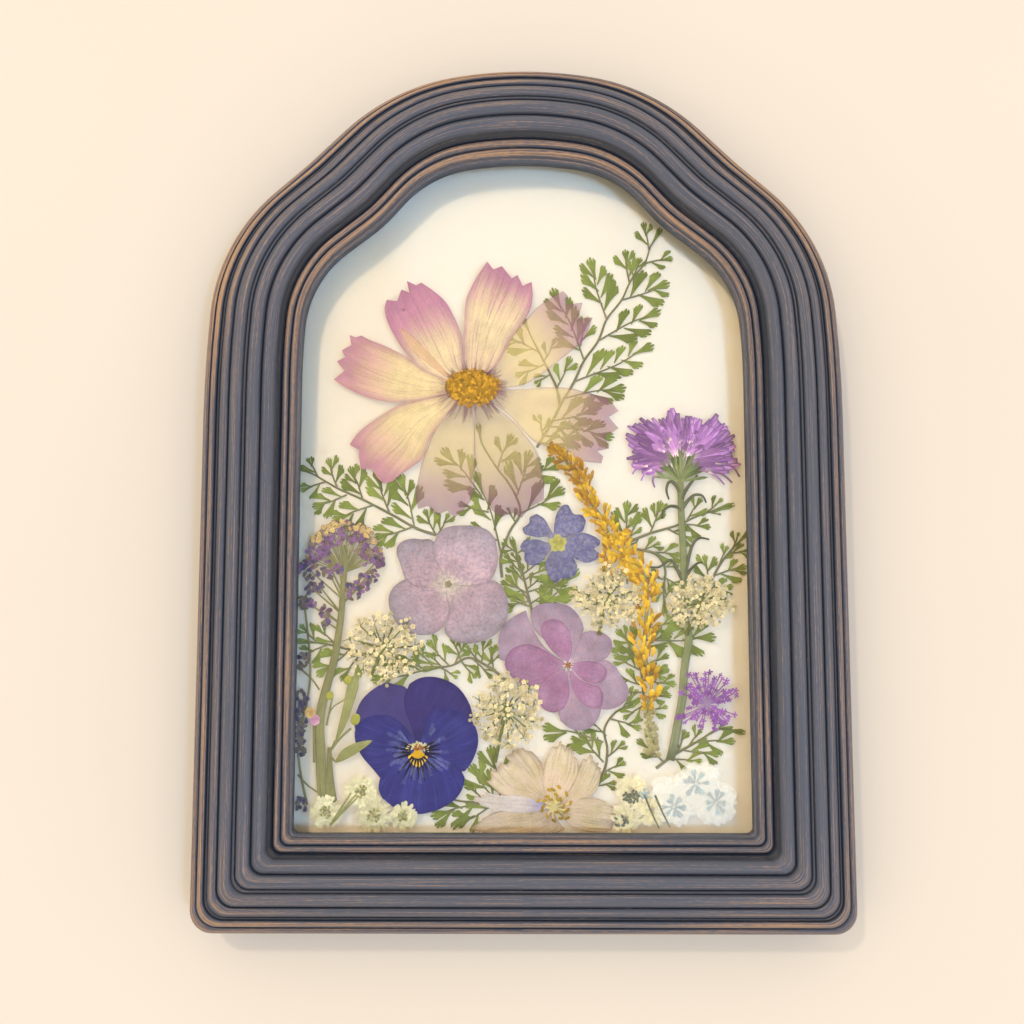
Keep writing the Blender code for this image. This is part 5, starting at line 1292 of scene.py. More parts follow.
class PRESSED_OT_larkspur(bpy.types.Operator):
    """Build the pale crumpled larkspur and its stamens"""
    bl_idname = "pressed.larkspur"
    bl_label = "Larkspur"

    def execute(self, context):
        flower = Pressing("larkspur", 6)
        lay_petals(flower, LARKSPUR, rows=24, ripple=0.07, folds=9.0, fine=6, fray=1.0)
        for anther in ANTHERS:
            angle = bearing(LARKSPUR_HEART, anther)
            anther = Vector(LARKSPUR_HEART).lerp(anther, 0.82)
            root = toward(LARKSPUR_HEART, angle, 0.5)
            bend = toward(toward(root, angle, math.dist(root, anther) / 2), angle + 90,
                          flower.rng.uniform(-0.25, 0.25))
            flower.stalk([root, bend, anther], 0.34, 0.22, lift=0.26, finish=3,
                         tint=flower.rng.random(), across=2)
            flower.bead(
                anther, 0.36, 0.16, 0.26, stretch=1.8, turn=angle + 60, tint=flower.rng.random())
        flower.bead(LARKSPUR_HEART, 1.1, 0.2, 0.2, finish=3, tint=0.4)
        flower.done(
            "larkspur_bloom",
            # Painted shade: the darker veins and margin of the larkspur petal are partly its own
            # colour and partly the shade along its crumpled folds and frilled edges.
            [tissue("dried_larkspur_petal", "DFC49A B2967C E8D2AE A4866E A58A72", lines=14,
                    edged=0.8, mottle=0.3, relief=1.0, speckle="C6A8A0", speckled=0.4,
                    specks=330.0),
             tissue("dried_larkspur_petal_lavender", "D8C6BC 9690BC E2D2BC BCA8AC B8A2A0",
                    lines=20, light=0.2, veined=0.6, edged=0.5, relief=1.0),
             tissue("dried_anther", "B08A2C 96701E C8A648", light=0.6, lines=16),
             tissue("dried_filament", "D8C384 C0A860")])
        return {"FINISHED"}


# ---------------------------------------------------------------- aster and goldenrod

ASTER_CUP = (32.7, 94.2)
ASTER_STEM = [(32.7, 92), (32.8, 84), (33, 78), (33.3, 68), (33.2, 62), (34, 58), (33, 52),
              (32.5, 46), (31.5, 41), (30.5, 36), (29.8, 33.5)]
# The rays' tips, round the fan from its right end to its left one.
ASTER_RAYS = [
    (43.7, 92.1), (45.2, 93.8), (45.3, 95.4), (45.8, 97.2), (45.1, 98.8), (44.1, 101.5),
    (43.1, 102.1), (41.8, 103.3), (40.5, 104.2), (38.4, 103.3), (36.4, 104.4), (35.1, 104),
    (33.5, 104.6), (31.1, 106.2), (29.8, 104.7), (27.7, 104.8), (25, 104.5), (23.6, 103.1),
    (22, 101.8), (21.2, 100.4), (20.8, 98.8), (20.9, 95.1), (21.9, 93.6), (23.9, 91.8)]
# Narrow leaves that curl off the stem: their lines and widths.
ASTER_CURLS = [
    ([(32.6, 88), (31.8, 89.5), (30.5, 90.3), (29.8, 88.5), (30.3, 86.5)], 0.9),
    ([(32.9, 86.5), (33.4, 87.8), (34.8, 89.8), (36.3, 91.6)], 1.0),
    ([(33, 84.6), (34, 86), (35.5, 87.4), (37.2, 87.3), (38, 85.8)], 0.9),
    ([(32.8, 84), (32.3, 84.8), (30.5, 85.1), (29, 84), (28.8, 82.5)], 0.8),
    ([(33.2, 69), (33.8, 73), (35, 77), (36.5, 78.5), (38.5, 78.2)], 1.1),
    ([(33, 69.5), (31.8, 72), (30.5, 74), (28, 72.5), (25.5, 72.7)], 0.8),
    ([(33.4, 70), (34.5, 72), (36, 73.3), (37, 73.4)], 0.8)]

ASTER_DROOPS = [
    [(26.8, 92.6), (25.4, 92), (24.6, 90.4)], [(27.8, 92), (27, 90.6), (27.4, 89)],
    [(38, 92.8), (41.4, 91.8), (43.4, 90)], [(40, 94), (43.4, 93.4), (45, 91.2)],
    [(38.6, 92.2), (40.4, 91.2), (41.8, 89.6)], [(26, 93.4), (24, 93.2), (22.8, 91.8)]]

GOLDENROD_SPINE = [
    (5.8, 97.6), (8, 96), (10, 93.2), (12.4, 91.3), (12.9, 89), (14, 86), (16, 83.2), (17.5, 80),
    (19.2, 77), (22, 74), (24.4, 72), (25.4, 69), (25.6, 65), (25, 60), (24.8, 56), (25.4, 52),
    (26.2, 48), (25.4, 44), (25.7, 41), (26.2, 37), (26.2, 34)]
GOLDENROD_WIDTHS = [
    1.4, 2.2, 3.0, 3.2, 3.2, 3.4, 3.4, 3.2, 3.6, 4.2, 4.4, 4.4, 4.2, 4.8, 4.4, 3.8, 3.0, 2.2, 1.4,
    2.0, 2.4]
GOLDENROD_SPURS = [
    ([(18, 77), (17.6, 73.5), (17.3, 70.4)], 2.2), ([(20.6, 76), (21.2, 72), (21.5, 69)], 2.2),
    ([(19, 78), (21, 79), (22.6, 79.4)], 2.2)]


def strap(form, root, angle, length, width, bend=0.0, lift=0.0, finish=0, tint=0.5, blunt=0.6,
          rows=6):
    """A narrow ray or scale with a blunt end, which may bend to one side."""
    middle = toward(toward(root, angle, length * 0.5), angle + 90, bend * length)
    neck = toward(toward(root, angle, length * 0.85), angle + 90, bend * length * 0.5)
    end = toward(root, angle, length)
    half = width / 2
    left = [toward(root, angle + 90, half * 0.4), toward(middle, angle + 90, half)]
    right = [toward(root, angle - 90, half * 0.4), toward(middle, angle - 90, half)]
    tip = [toward(neck, angle + 90, half * 0.95), toward(end, angle + 90, half * blunt * 0.6),
           toward(end, angle - 90, half * blunt * 0.6), toward(neck, angle - 90, half * 0.95)]
    form.petal(left, tip, right, lift, rows=rows, ripple=0.015, folds=1.5, pull=2.0, finish=finish,
               tint=tint)


class PRESSED_OT_aster(bpy.types.Operator):
    """Build the purple aster, seen from the side, with its stem and curled leaves"""
    bl_idname = "pressed.aster"
    bl_label = "Aster"

    def execute(self, context):
        flower = Pressing("aster", 7)
        rng = flower.rng
        flower.stalk(ASTER_STEM, 1.3, 1.8, across=6)
        for points, width in ASTER_CURLS:
            flower.stalk(
                points, width, 0.35, lift=0.02, finish=2, tint=rng.uniform(0.2, 0.8), step=0.5)
        # Three rows of rays over one another, the middle ones foreshortened.
        for layer, share in enumerate((1.0, 0.96, 0.8)):
            for number, tip in enumerate(ASTER_RAYS):
                following = ASTER_RAYS[min(number + 1, len(ASTER_RAYS) - 1)]
                slide = (0.0, 0.5, 0.25)[layer]
                end = Vector(tip).lerp(Vector(following), slide)
                angle = bearing(ASTER_CUP, end)
                root = toward(ASTER_CUP, angle + rng.uniform(-8, 8), rng.uniform(0.6, 2.0))
                length = math.dist(root, end) * share * rng.uniform(0.84, 1.02)
                strap(flower, root, bearing(root, end), length, rng.uniform(0.95, 1.5),
                      rng.uniform(-0.07, 0.07), 0.02 + 0.06 * layer + 0.02 * (number % 2),
                      tint=rng.random(), blunt=rng.uniform(0.5, 1.3))
        # The rays that lean this way are foreshortened, and show their pale backs.
        for _ in range(26):
            angle = rng.uniform(22, 158)
            root = toward((32.7, 94.8), angle, rng.uniform(1.5, 4.6))
            strap(flower, root, angle + rng.uniform(-14, 14), rng.uniform(1.8, 3.4),
                  rng.uniform(0.8, 1.4), rng.uniform(-0.12, 0.12), 0.2, tint=rng.random(),
                  blunt=rng.uniform(0.5, 1.2), rows=4)
        # Withered rays droop in thin curls at both ends of the fan.
        for points in ASTER_DROOPS:
            flower.stalk(points, 0.6, 0.3, lift=0.1, finish=0, tint=rng.random(), step=0.5)
        # The cup: overlapping green bracts that end in narrow points.
        for row, (count, reach, spread) in enumerate(((15, 6.2, 78), (11, 5.0, 58), (9, 5.8, 34))):
            for number in range(count):
                angle = 90 + spread * (2 * number / (count - 1) - 1)
                pale = rng.random() < 0.3
                strap(flower, (32.7, 90.2 + 0.4 * row), angle + rng.uniform(-6, 6),
                      reach * rng.uniform(0.8, 1.15), 0.62, rng.uniform(-0.08, 0.08),
                      0.17 + 0.03 * row, finish=1 if pale else 3, tint=rng.random(), blunt=0.1)
        flower.done(
            "aster_bloom",
            [tissue("dried_aster_ray", "B078AC F4DEC8 9C64A4 E6C0CC 74427C", light=0.9,
                    veined=0.55, edged=0.6),
             tissue("dried_aster_stem", "8C8D60 87885C 8E8E6C 6C6D44 5A5B3A", lines=6, veined=0.7,
                    edged=0.8, light=0.3),
             tissue("dried_aster_leaf", "6A6B52 74755A 5C5A4C 54543E 4A4A3C"),
             tissue("dried_aster_bract", "7C8450 9A9A66 5C6340 A4A474 525A3A", lines=3, light=0.9,
                    veined=0.4, edged=0.7)])
        return {"FINISHED"}


def along_line(points, widths, share):
    """Where this share of a line lies, which way it runs there and how wide its spike is."""
    place = share * (len(points) - 1)
    number = min(int(place), len(points) - 2)
    part = place - number
    point = Vector(points[number]).lerp(Vector(points[number + 1]), part)
    width = widths[number] + (widths[number + 1] - widths[number]) * part
    return point, bearing(points[number], points[number + 1]), width


class PRESSED_OT_goldenrod(bpy.types.Operator):
    """Build the long spike of goldenrod"""
    bl_idname = "pressed.goldenrod"
    bl_label = "Goldenrod"

    def execute(self, context):
        spike = Pressing("goldenrod", 8)
        rng = spike.rng
        spike.stalk(GOLDENROD_SPINE, 0.6, 0.7)
        runs = [(GOLDENROD_SPINE, GOLDENROD_WIDTHS, 430)]
        for points, width in GOLDENROD_SPURS:
            spike.stalk(points, 0.5, 0.4)
            runs.append((points, [width] * 3, 34))
        for points, widths, count in runs:
            for number in range(count):
                share = (number + rng.random()) / count
                point, angle, width = along_line(points, widths, share)
                across = rng.uniform(-1, 1)
                root = toward(point, angle + 90, across * width * 0.42)
                lean = angle + 180 - across * rng.uniform(20, 60) + rng.uniform(-18, 18)
                length = rng.uniform(1.3, 2.6) * min(1.0, width / 3.4)
                low = min(1.0, max(0.0, (point.y - 84) / 10))
                withered = point.y < 43
                tint = rng.uniform(0.1, 1.0) - 0.3 * low
                strap(spike, root, lean, length, rng.uniform(0.5, 0.85), rng.uniform(-0.16, 0.16),
                      rng.uniform(0.1, 0.26),
                      finish=3 if withered else 2 if rng.random() < 0.25 + 0.6 * low else 0,
                      tint=tint, rows=3)
        spike.done(
            "goldenrod_spike",
            [tissue("dried_goldenrod_floret", "D9A628 B97A1C EFC53C B27E22 A8741C", light=0.7,
                    mottle=0.3),
             tissue("dried_goldenrod_stalk", "968A52 8A7A44 8E8C60 6E6438", light=0.3),
             tissue("dried_goldenrod_bract", "B07C2A 8E5C1C C8922E 7A5020", light=0.6),
             tissue("withered_goldenrod_husk", "A99A66 8E8252 BDB083 857A4C")])
        return {"FINISHED"}


# ---------------------------------------------------------------- heads of small florets

# Cream umbels: hub, half width, half height and the foot of the stem.
UMBELS = {
    "lace_umbel_1": ((-28.4, 56), 8.4, 7.9, (-31, 50)),
    "lace_umbel_2": ((-3.4, 43.4), 7.4, 7.6, (-5.6, 33)),
    "lace_umbel_3": ((17, 66), 7.0, 6.8, (15.6, 58.6)),
    "lace_umbel_4": ((36.6, 65.2), 6.8, 5.8, (33.4, 58.6)),
}
PURPLE_HUB = (37.3, 44.6)
PURPLE_TIPS = [
    (43.8, 44.6), (43.4, 47.6), (42.8, 49.2), (40.7, 50.6), (38.6, 51.6), (36.6, 52.2),
    (34.2, 51.1), (32.8, 48.8), (31.4, 45.4), (31.3, 41.2), (33.5, 39.4), (37.6, 39.2),
    (40.5, 39.8), (42.6, 41.2)]


def scatter(rng, count, gap, tries=40):
    """Places spread over a unit disc, no two closer than the gap where room allows."""
    places = []
    while len(places) < count:
        best, room = None, -1.0
        for _ in range(tries):
            angle, out = rng.uniform(0, 2 * math.pi), math.sqrt(rng.random())
            place = (out * math.cos(angle), out * math.sin(angle))
            near = min((math.dist(place, other) for other in places), default=9.0)
            if near > room:
                best, room = place, near
            if near > gap:
                break
        places.append(best)
    return places


class PRESSED_OT_umbels(bpy.types.Operator):
    """Build the cream umbels of lace flower"""
    bl_idname = "pressed.umbels"
    bl_label = "Lace umbels"

    def execute(self, context):
        settings = context.scene.pressed_specimens
        cream = tissue(
            "dried_lace_floret", "DEC796 A88E56 E8D4A4 C6AA74 BA9C6E", light=0.7, lines=5)
        stalk = tissue("dried_lace_stalk", "757642 7C7C4A 686A38 52542E")
        bud = tissue("dried_lace_bud", "DCC896 A4925C", light=0.7, lines=16)
        for seed, (node, (hub, wide, high, foot)) in enumerate(UMBELS.items()):
            head = Pressing(node, 60 + seed)
            rng = head.rng
            head.stalk([hub, foot], 0.7, 0.8)
            clusters = scatter(rng, 24, 0.3)
            each = max(3, settings.florets // 20)
            for x, y in clusters:
                middle = (hub[0] + x * wide * 0.86, hub[1] + y * high * 0.88)
                head.stalk([hub, middle], 0.42, 0.28, tint=rng.random(), across=2, step=2.0)
                for px, py in scatter(rng, each, 0.5, 12):
                    place = (middle[0] + px * wide * 0.22, middle[1] + py * high * 0.22)
                    if rng.random() < 0.6:
                        head.stalk([middle, place], 0.2, 0.14, lift=0.03, tint=rng.random(),
                                   across=2, step=2.0)
                    if rng.random() < 0.42:
                        head.bead(place, rng.uniform(0.28, 0.46), 0.2, 0.1, tint=rng.random())
                        continue
                    head.floret(place, rng.uniform(0.46, 0.7), 5, rng.uniform(0, 72),
                                rng.uniform(0.06, 0.2), cup=-0.06, waist=0.66, tint=rng.random(),
                                squash=rng.uniform(0.7, 1.0))
            head.done(node + "_head", [cream, stalk, bud])
        return {"FINISHED"}


class PRESSED_OT_purple_umbel(bpy.types.Operator):
    """Build the purple umbel of small crosses"""
    bl_idname = "pressed.purple_umbel"
    bl_label = "Purple umbel"

    def execute(self, context):
        head = Pressing("purple_umbel", 70)
        rng = head.rng
        places = []
        for number, tip in enumerate(PURPLE_TIPS):
            following = PURPLE_TIPS[(number + 1) % len(PURPLE_TIPS)]
            for share in (0.98, 0.84, 0.68, 0.52, 0.36):
                end = Vector(tip).lerp(Vector(following), rng.random() * 0.9)
                places.append(Vector(PURPLE_HUB).lerp(end, share * rng.uniform(0.92, 1.0)))
        for place in places:
            head.stalk([PURPLE_HUB, place], 0.14, 0.26, lift=rng.uniform(0, 0.05),
                       tint=rng.random(), across=2, step=1.5)
            for _ in range(rng.choice((1, 1, 2))):
                spot = toward(place, rng.uniform(0, 360), rng.uniform(0.0, 0.7))
                head.floret(spot, rng.uniform(0.5, 0.78), rng.choice((4, 5)), rng.uniform(0, 90),
                            rng.uniform(0.06, 0.2), cup=0.04, waist=0.24, tint=rng.random(),
                            squash=rng.uniform(0.7, 1.0))
        head.done("purple_umbel_head",
                  [tissue("dyed_floret_purple", "9E5CA6 864A92 AC6CB2 7E4688 7C4686", light=0.6),
                   tissue("dyed_floret_stalk", "A47CA8 B496AE 9868A2", light=0.4)])
        return {"FINISHED"}


STATICE_STEM = [
    (-37, 77), (-36.5, 74), (-36.8, 70), (-37, 66), (-37.3, 62), (-38.4, 54), (-40, 48),
    (-41.2, 42), (-41, 35), (-40.6, 29), (-40, 24.4)]
# Branches off the stem, each with a clump at its end: fork, end, clump radius.
STATICE_CLUMPS = [
    ((-37, 66), (-44, 72), 2.1), ((-37, 66), (-40, 71.6), 1.4), ((-36.9, 68), (-37.9, 72.4), 1.2),
    ((-36.9, 67), (-40.6, 74.6), 1.2), ((-37, 65), (-34.6, 67.6), 1.9),
    ((-37, 65), (-32.8, 69.2), 1.7), ((-36, 67.4), (-30.8, 70.6), 1.5),
    ((-36, 67.4), (-29.7, 74), 1.2), ((-37.2, 63), (-43.4, 68.2), 1.2),
    ((-37.2, 63), (-41.6, 68.4), 1.0), ((-37.4, 61), (-43.9, 65), 1.2),
    ((-37.4, 61), (-40.5, 63.4), 1.1), ((-37.6, 59.6), (-40, 61.2), 0.9)]


def statice_clump(spray, centre, radius, count, finishes, lift=0.06):
    """A clump of small pointed flowers, crumpled together."""
    rng = spray.rng
    for x, y in scatter(rng, count, 0.35, 10):
        place = (centre[0] + x * radius, centre[1] + y * radius)
        # A brown husk, and in most of them the crumpled flower.
        rise, size = lift + rng.uniform(0.0, 0.1), rng.uniform(0.6, 0.95)
        turn = rng.uniform(0, 360)
        strap(spray, toward(place, turn, -size * 0.7), turn, size * 1.7, size * 1.05, 0.1, rise,
              finish=4, tint=rng.random(), rows=3)
        if rng.random() < 0.72:
            spray.floret(toward(place, turn, size * 0.3), size * 0.66, 5, turn, rise + 0.06,
                         cup=0.04, waist=0.5, finish=rng.choice(finishes), tint=rng.random(),
                         squash=rng.uniform(0.6, 1.0))


def statice_finishes():
    """The finishes that the statice, the spray beside it and the pink bud share."""
    violet = tissue("dried_statice_violet", "845A84 6C4A6C 967098 5C4060 5A3E60", light=0.8)
    navy = tissue("dried_statice_navy", "564A6E 463E58 625A78 3A344C", light=0.6)
    tan = tissue("dried_statice_crown", "D4AC6C B98C4C E2C78E A87A40")
    stem = tissue("dried_statice_stem", "928A5C 8C8458 96905E 726A42 686040", lines=7, veined=0.6,
                  edged=0.6, light=0.3)
    husk = tissue("dried_statice_husk", "857060 6E5E48 96826C 5E4E44", light=0.7)
    return [violet, stem, navy, tan, husk]


class PRESSED_OT_statice(bpy.types.Operator):
    """Build the statice, the spray at the left edge and the pink bud beside it"""
    bl_idname = "pressed.statice"
    bl_label = "Statice"

    def execute(self, context):
        finishes = statice_finishes()
        spray = Pressing("statice", 80)
        rng = spray.rng
        spray.stalk(STATICE_STEM, 1.0, 2.3, across=6)
        spray.stalk([(-39.2, 36), (-39, 30), (-38.4, 25)], 0.8, 2.0, lift=0.04)
        # Fine stalks fan out to the umbrella head: mauve below and tan along its crown.
        for number in range(34):
            angle = 4 + 172 * number / 33 + rng.uniform(-3, 3)
            reach = 8.1 - 0.7 * abs(math.cos(math.radians(angle)))
            end = toward((-36.8, 73.4), angle, reach * rng.uniform(0.75, 0.95))
            spray.stalk(
                [(-36.8, 71.4), end], 0.26, 0.2, lift=0.02, tint=rng.random(), across=2, step=2.0)
            statice_clump(spray, toward(end, angle, rng.uniform(-2.0, 0.2)), 1.1, 3, (0,))
            crown = toward((-36.8, 73.4), angle, reach)
            if 95 < angle < 150 or 48 < angle < 75:
                statice_clump(spray, crown, 0.8, 4, (3,), lift=0.1)
            elif angle > 14:
                statice_clump(spray, crown, 0.7, 2, (0, 3), lift=0.1)
        for fork, end, radius in STATICE_CLUMPS:
            spray.stalk([fork, end], 0.42, 0.26, across=2, step=2.0)
            dark = (2, 2, 0) if end[0] < -42 else (0, 0, 2)
            statice_clump(spray, end, radius, round(6 * radius), dark)
        spray.done("statice_spray", finishes)

        edge = Pressing("statice_edge", 81)
        rng = edge.rng
        edge.stalk([(-45, 66), (-43.4, 50), (-45.6, 36), (-43.6, 24.5)], 0.4, 0.5)
        for points in ([(-45, 51.4), (-43, 49.6), (-41.5, 47.5)],
                       [(-45.6, 30.5), (-43.6, 28.4), (-41.5, 27)]):
            edge.stalk(points, 0.4, 0.3)
        for x, y, radius in (
                (-44.8, 65.4, 1.2), (-45.2, 53.4, 1.7), (-45.4, 46, 1.4), (-45.2, 43.4, 1.4),
                (-45.2, 40.8, 1.4), (-45.2, 38.2, 1.5), (-45.4, 35.6, 1.4), (-44.8, 24.6, 1.3)):
            statice_clump(edge, (x, y), radius, 9, (2, 4), lift=0.04)
        edge.done("edge_spray", finishes)

        bud = Pressing("pink_bud", 82)
        bud.stalk([(-42.4, 41.4), (-42.3, 37), (-42.2, 33)], 0.5, 0.5)
        bud_pink = tissue("dried_bud_pink", "CB8FA6 B87A90 DCA8B4", lines=5)
        bud_gold = tissue("dried_bud_gold", "D9AE6E C08E50 E6C48C", lines=5)
        for centre, kind in (((-43.2, 43), 2), ((-42.2, 41.5), 0)):
            for number in range(7):
                strap(bud, toward(centre, number * 51, 0.1), number * 51 + 20, 1.05, 0.8, 0.05,
                      0.05 + 0.02 * number, finish=kind, tint=bud.rng.random(), rows=4)
        bud.done("bud_pair", [bud_pink, finishes[1], bud_gold])
        return {"FINISHED"}


# Heads of the clusters: their centres and radii, and the tints of the cream ones.
CREAM_HEADS = [((-30, 22.6), 4.0, 0.3), ((-39.6, 23.2), 3.6, 0.5), ((-24, 22.4), 3.1, 0.4),
               ((-32.6, 27.2), 3.7, 0.6)]
WHITE_HEADS = [((38.4, 25.2), 5.2), ((30.6, 25.8), 5.4), ((35.2, 29.2), 4.9)]
CREAM_CORNER = [((22, 27.4), 3.6), ((20.6, 22.2), 3.3), ((26, 23.8), 3.6)]
WHITE_STARS = [(34.8, 29), (38.8, 25.3), (30.3, 24.4)]


def tufted_head(head, centre, radius, rings, tint, finish=0):
    """A flat head of narrow frilled petals in rings, the inner ones over the outer."""
    rng = head.rng
    for ring in range(rings):
        reach = radius * (1 - ring / (rings + 0.6))
        count = max(7, round(reach * 7))
        for number in range(count):
            angle = 360 * (number + rng.random() * 0.8) / count
            root = toward(centre, angle, reach * 0.35)
            strap(head, root, angle + rng.uniform(-12, 12), reach * rng.uniform(0.5, 0.66),
                  rng.uniform(0.5, 0.95), rng.uniform(-0.1, 0.1),
                  min(0.2, 0.045 * ring + rng.uniform(0, 0.03)), finish=finish,
                  tint=min(1.0, max(0.0, tint + rng.uniform(-0.4, 0.4))), rows=4)


class PRESSED_OT_clusters(bpy.types.Operator):
    """Build the cream heads at the lower left and the white cluster at the lower right"""
    bl_idname = "pressed.clusters"
    bl_label = "Cream and white clusters"

    def execute(self, context):
        cream = tissue(
            "dried_cream_petal", "E2D5A6 B9AE74 EADFB8 C8BB86 BFB07C", light=0.4, lines=5)
        green = tissue("dried_green_stalk", "A09A64 8E8A58 B0AA78 76724A")
        cluster = Pressing("cream_cluster", 90)
        rng = cluster.rng
        for centre, radius, tint in CREAM_HEADS:
            tufted_head(cluster, centre, radius, 4, tint)
            for x, y in scatter(rng, 12, 0.4):
                cluster.bead(
                    (centre[0] + x * radius * 0.32, centre[1] + y * radius * 0.32), 0.28, 0.14,
                    0.17, finish=1, tint=rng.random(), stretch=1.5, turn=rng.uniform(0, 180))
        for end in ((-33.4, 26), (-34.6, 27), (-33, 27.4)):
            cluster.stalk([(-38.6, 20.8), end], 0.5, 0.35, lift=0.14, across=3)
        cluster.done("cream_heads", [cream, green])

        white = tissue("bleached_petal_white", "F6F1E6 F1ECE0 F6F1E6 E8E4DA EEE4D2", light=0.08,
                       lines=8, mottle=0.06, opacity=0.26, edged=0.3)
        corner = tissue("dried_petal_ivory", "EBD9A8 D8C790 F0E2BC C9B47C", light=0.3, lines=6)
        star = tissue("bleached_sepal_blue", "A9BABE 98ABB0 B6C4C4 8CA0A8", opacity=0.42)
        dark = tissue("dried_seed_dark", "7C7A66 68664E 9A987C", lines=16)
        cluster = Pressing("white_cluster", 91)
        rng = cluster.rng
        for centre, radius in CREAM_CORNER:
            tufted_head(cluster, centre, radius, 3, 0.5, finish=1)
        # The bleached flowers: frilled lobes, nearly as pale as the paper.
        for centre, radius in WHITE_HEADS:
            for number in range(11):
                angle = number * 360 / 11 + rng.uniform(-9, 9)
                left, tip, right = oval(
                    centre, toward(centre, angle, radius * rng.uniform(0.86, 1.04)),
                    radius * rng.uniform(0.6, 0.8), 1.1, 0.08, 0.06, number)
                cluster.petal(left, tip, right, 0.02 * (number % 4), rows=10, ripple=0.05,
                              folds=6.0, tint=rng.random(), fray=0.5)
        # Each star: forked wedges that widen outwards, joined in the middle.
        for centre in WHITE_STARS:
            for number in range(8):
                angle = number * 45 + rng.uniform(-12, 12)
                end = toward(centre, angle, rng.uniform(1.9, 3.0))
                cluster.leaflet(toward(centre, angle, 0.3), end, rng.uniform(0.8, 1.3), 2, 0.19,
                                finish=2, tint=rng.random(), cut=rng.uniform(0.2, 0.4))
        for centre, count in (((21.8, 26.4), 22), ((20, 21.4), 9)):
            for x, y in scatter(rng, count, 0.3):
                cluster.bead((centre[0] + x * 1.6, centre[1] + y * 1.2), 0.3, 0.14, 0.16, finish=3,
                             tint=rng.random(), stretch=1.6, turn=rng.uniform(0, 180))
        for points in ([(24.5, 26.7), (25.8, 23.4), (27.3, 20.2)],
                       [(26.6, 26.6), (28, 23.4), (29.5, 20.4)]):
            cluster.stalk(points, 0.4, 0.3, lift=0.18, finish=3, across=3)
        cluster.floret((24.5, 26.9), 1.2, 5, 20, 0.18, finish=2)
        cluster.done("white_heads", [white, corner, star, dark])
        return {"FINISHED"}


class PRESSED_OT_leaf_sprig(bpy.types.Operator):
    """Build the sprig of narrow leaves and round buds"""
    bl_idname = "pressed.leaf_sprig"
    bl_label = "Leaf sprig"

    def execute(self, context):
        sprig = Pressing("leaf_sprig", 95)
        sprig.petal([(-38, 33.2), (-36.6, 35.4), (-34.4, 36.7)],
                    [(-32.6, 37.2), (-31.2, 37.5), (-30.4, 37.4), (-31, 36.7), (-32, 35.9)],
                    [(-37.8, 32.9), (-36, 33.5), (-33.8, 34.7)], 0.1)
        sprig.petal([(-38, 37.4), (-37.2, 41), (-36.4, 44.6)],
                    [(-35.8, 48), (-35.4, 49.8), (-34.2, 50.5), (-33.4, 50.2), (-33.4, 48)],
                    [(-37.7, 37.2), (-35.8, 40.6), (-34.4, 44.6)], 0.04, tint=0.6)
        for points, width in (
                ([(-39.4, 34.6), (-37, 37.8), (-34.8, 39.8)], 0.45),
                ([(-38, 33.2), (-38.8, 34.2), (-39.4, 34.6)], 0.4),
                ([(-38, 37.4), (-38.4, 36.4), (-39, 35)], 0.4),
                ([(-39.6, 41.4), (-38.6, 44), (-35.6, 45.8)], 0.3),
                ([(-39.8, 40.4), (-39.2, 43.4), (-38.7, 46)], 0.4)):
            sprig.stalk(points, width, width, lift=0.06)
        for centre, radius, stretch in (
                ((-33.9, 41.6), 0.95, 1.3), ((-39.2, 46.4), 0.8, 1.15), ((-35.5, 49.5), 0.9, 1.1)):
            sprig.bead(centre, radius, 0.3, 0.05, stretch=stretch, turn=70, detail=2)
            for angle in (60, 90, 120):
                strap(sprig, toward(centre, 250, radius), angle - 20, radius * 1.2, radius * 0.7,
                      0.0, 0.16, finish=1, blunt=0.1, rows=3)
        sprig.done(
            "sprig_leaves",
            [tissue("dried_long_leaf", "98935A 8E8950 A39E66 827D48 77733F", lines=9, light=0.3,
                    veined=0.6),
             tissue("dried_sprig_stalk", "8F8A5A 857F50 99945F 6A6640", light=0.4),
             tissue("dried_green_bud", "B0A84C 989240 BDB55E 8A8438", light=0.3, lines=6)])
        return {"FINISHED"}


# ---------------------------------------------------------------- stage

# The camera looks straight down on the sheet from a hand's height, a little below its middle.
FOCAL_PIXELS = 1108.0
IMAGE_PIXELS = 1024.0
CAMERA_PLACE = (-0.475, 61.51, 235.70)
CAMERA_TURN = (0.09794373, 0.00739215, -0.00024675)
LIGHT_DISTANCE = 2400.0
# Each light: the way it lies from the sheet, its width in metres and its power in watts.
KEY_LIGHT = ((-0.40, 0.55, 1.0), 0.13, 12.6)
FILL_LIGHT = ((0.42, -0.16, 1.0), 0.3, 12.3)
# The glow of the walls and of the dark overhead, and between which heights it changes.
WALL_GLOW, OVERHEAD_GLOW = 1.46, 0.25
OVERHEAD_FROM, OVERHEAD_FULL = 0.86, 0.93
FLOOR_GAP = 0.0002
TARGET = (0.0, 85.0, 6.0)


def studio_light(name, way, width, power, colour):
    """A round soft light aimed at the middle of the sheet."""
    light = bpy.data.lights.new(name, "AREA")
    light.shape = "DISK"
    light.size = width
    light.energy = power
    light.color = tuple(colour)
    lamp = bpy.data.objects.new(name, light)
    direction = Vector(way).normalized()
    lamp.location = TO_ROW @ (Vector(TARGET) + direction * LIGHT_DISTANCE)
    lamp.rotation_euler = direction.to_track_quat("Z", "Y").to_euler()
    bpy.context.scene.collection.objects.link(lamp)


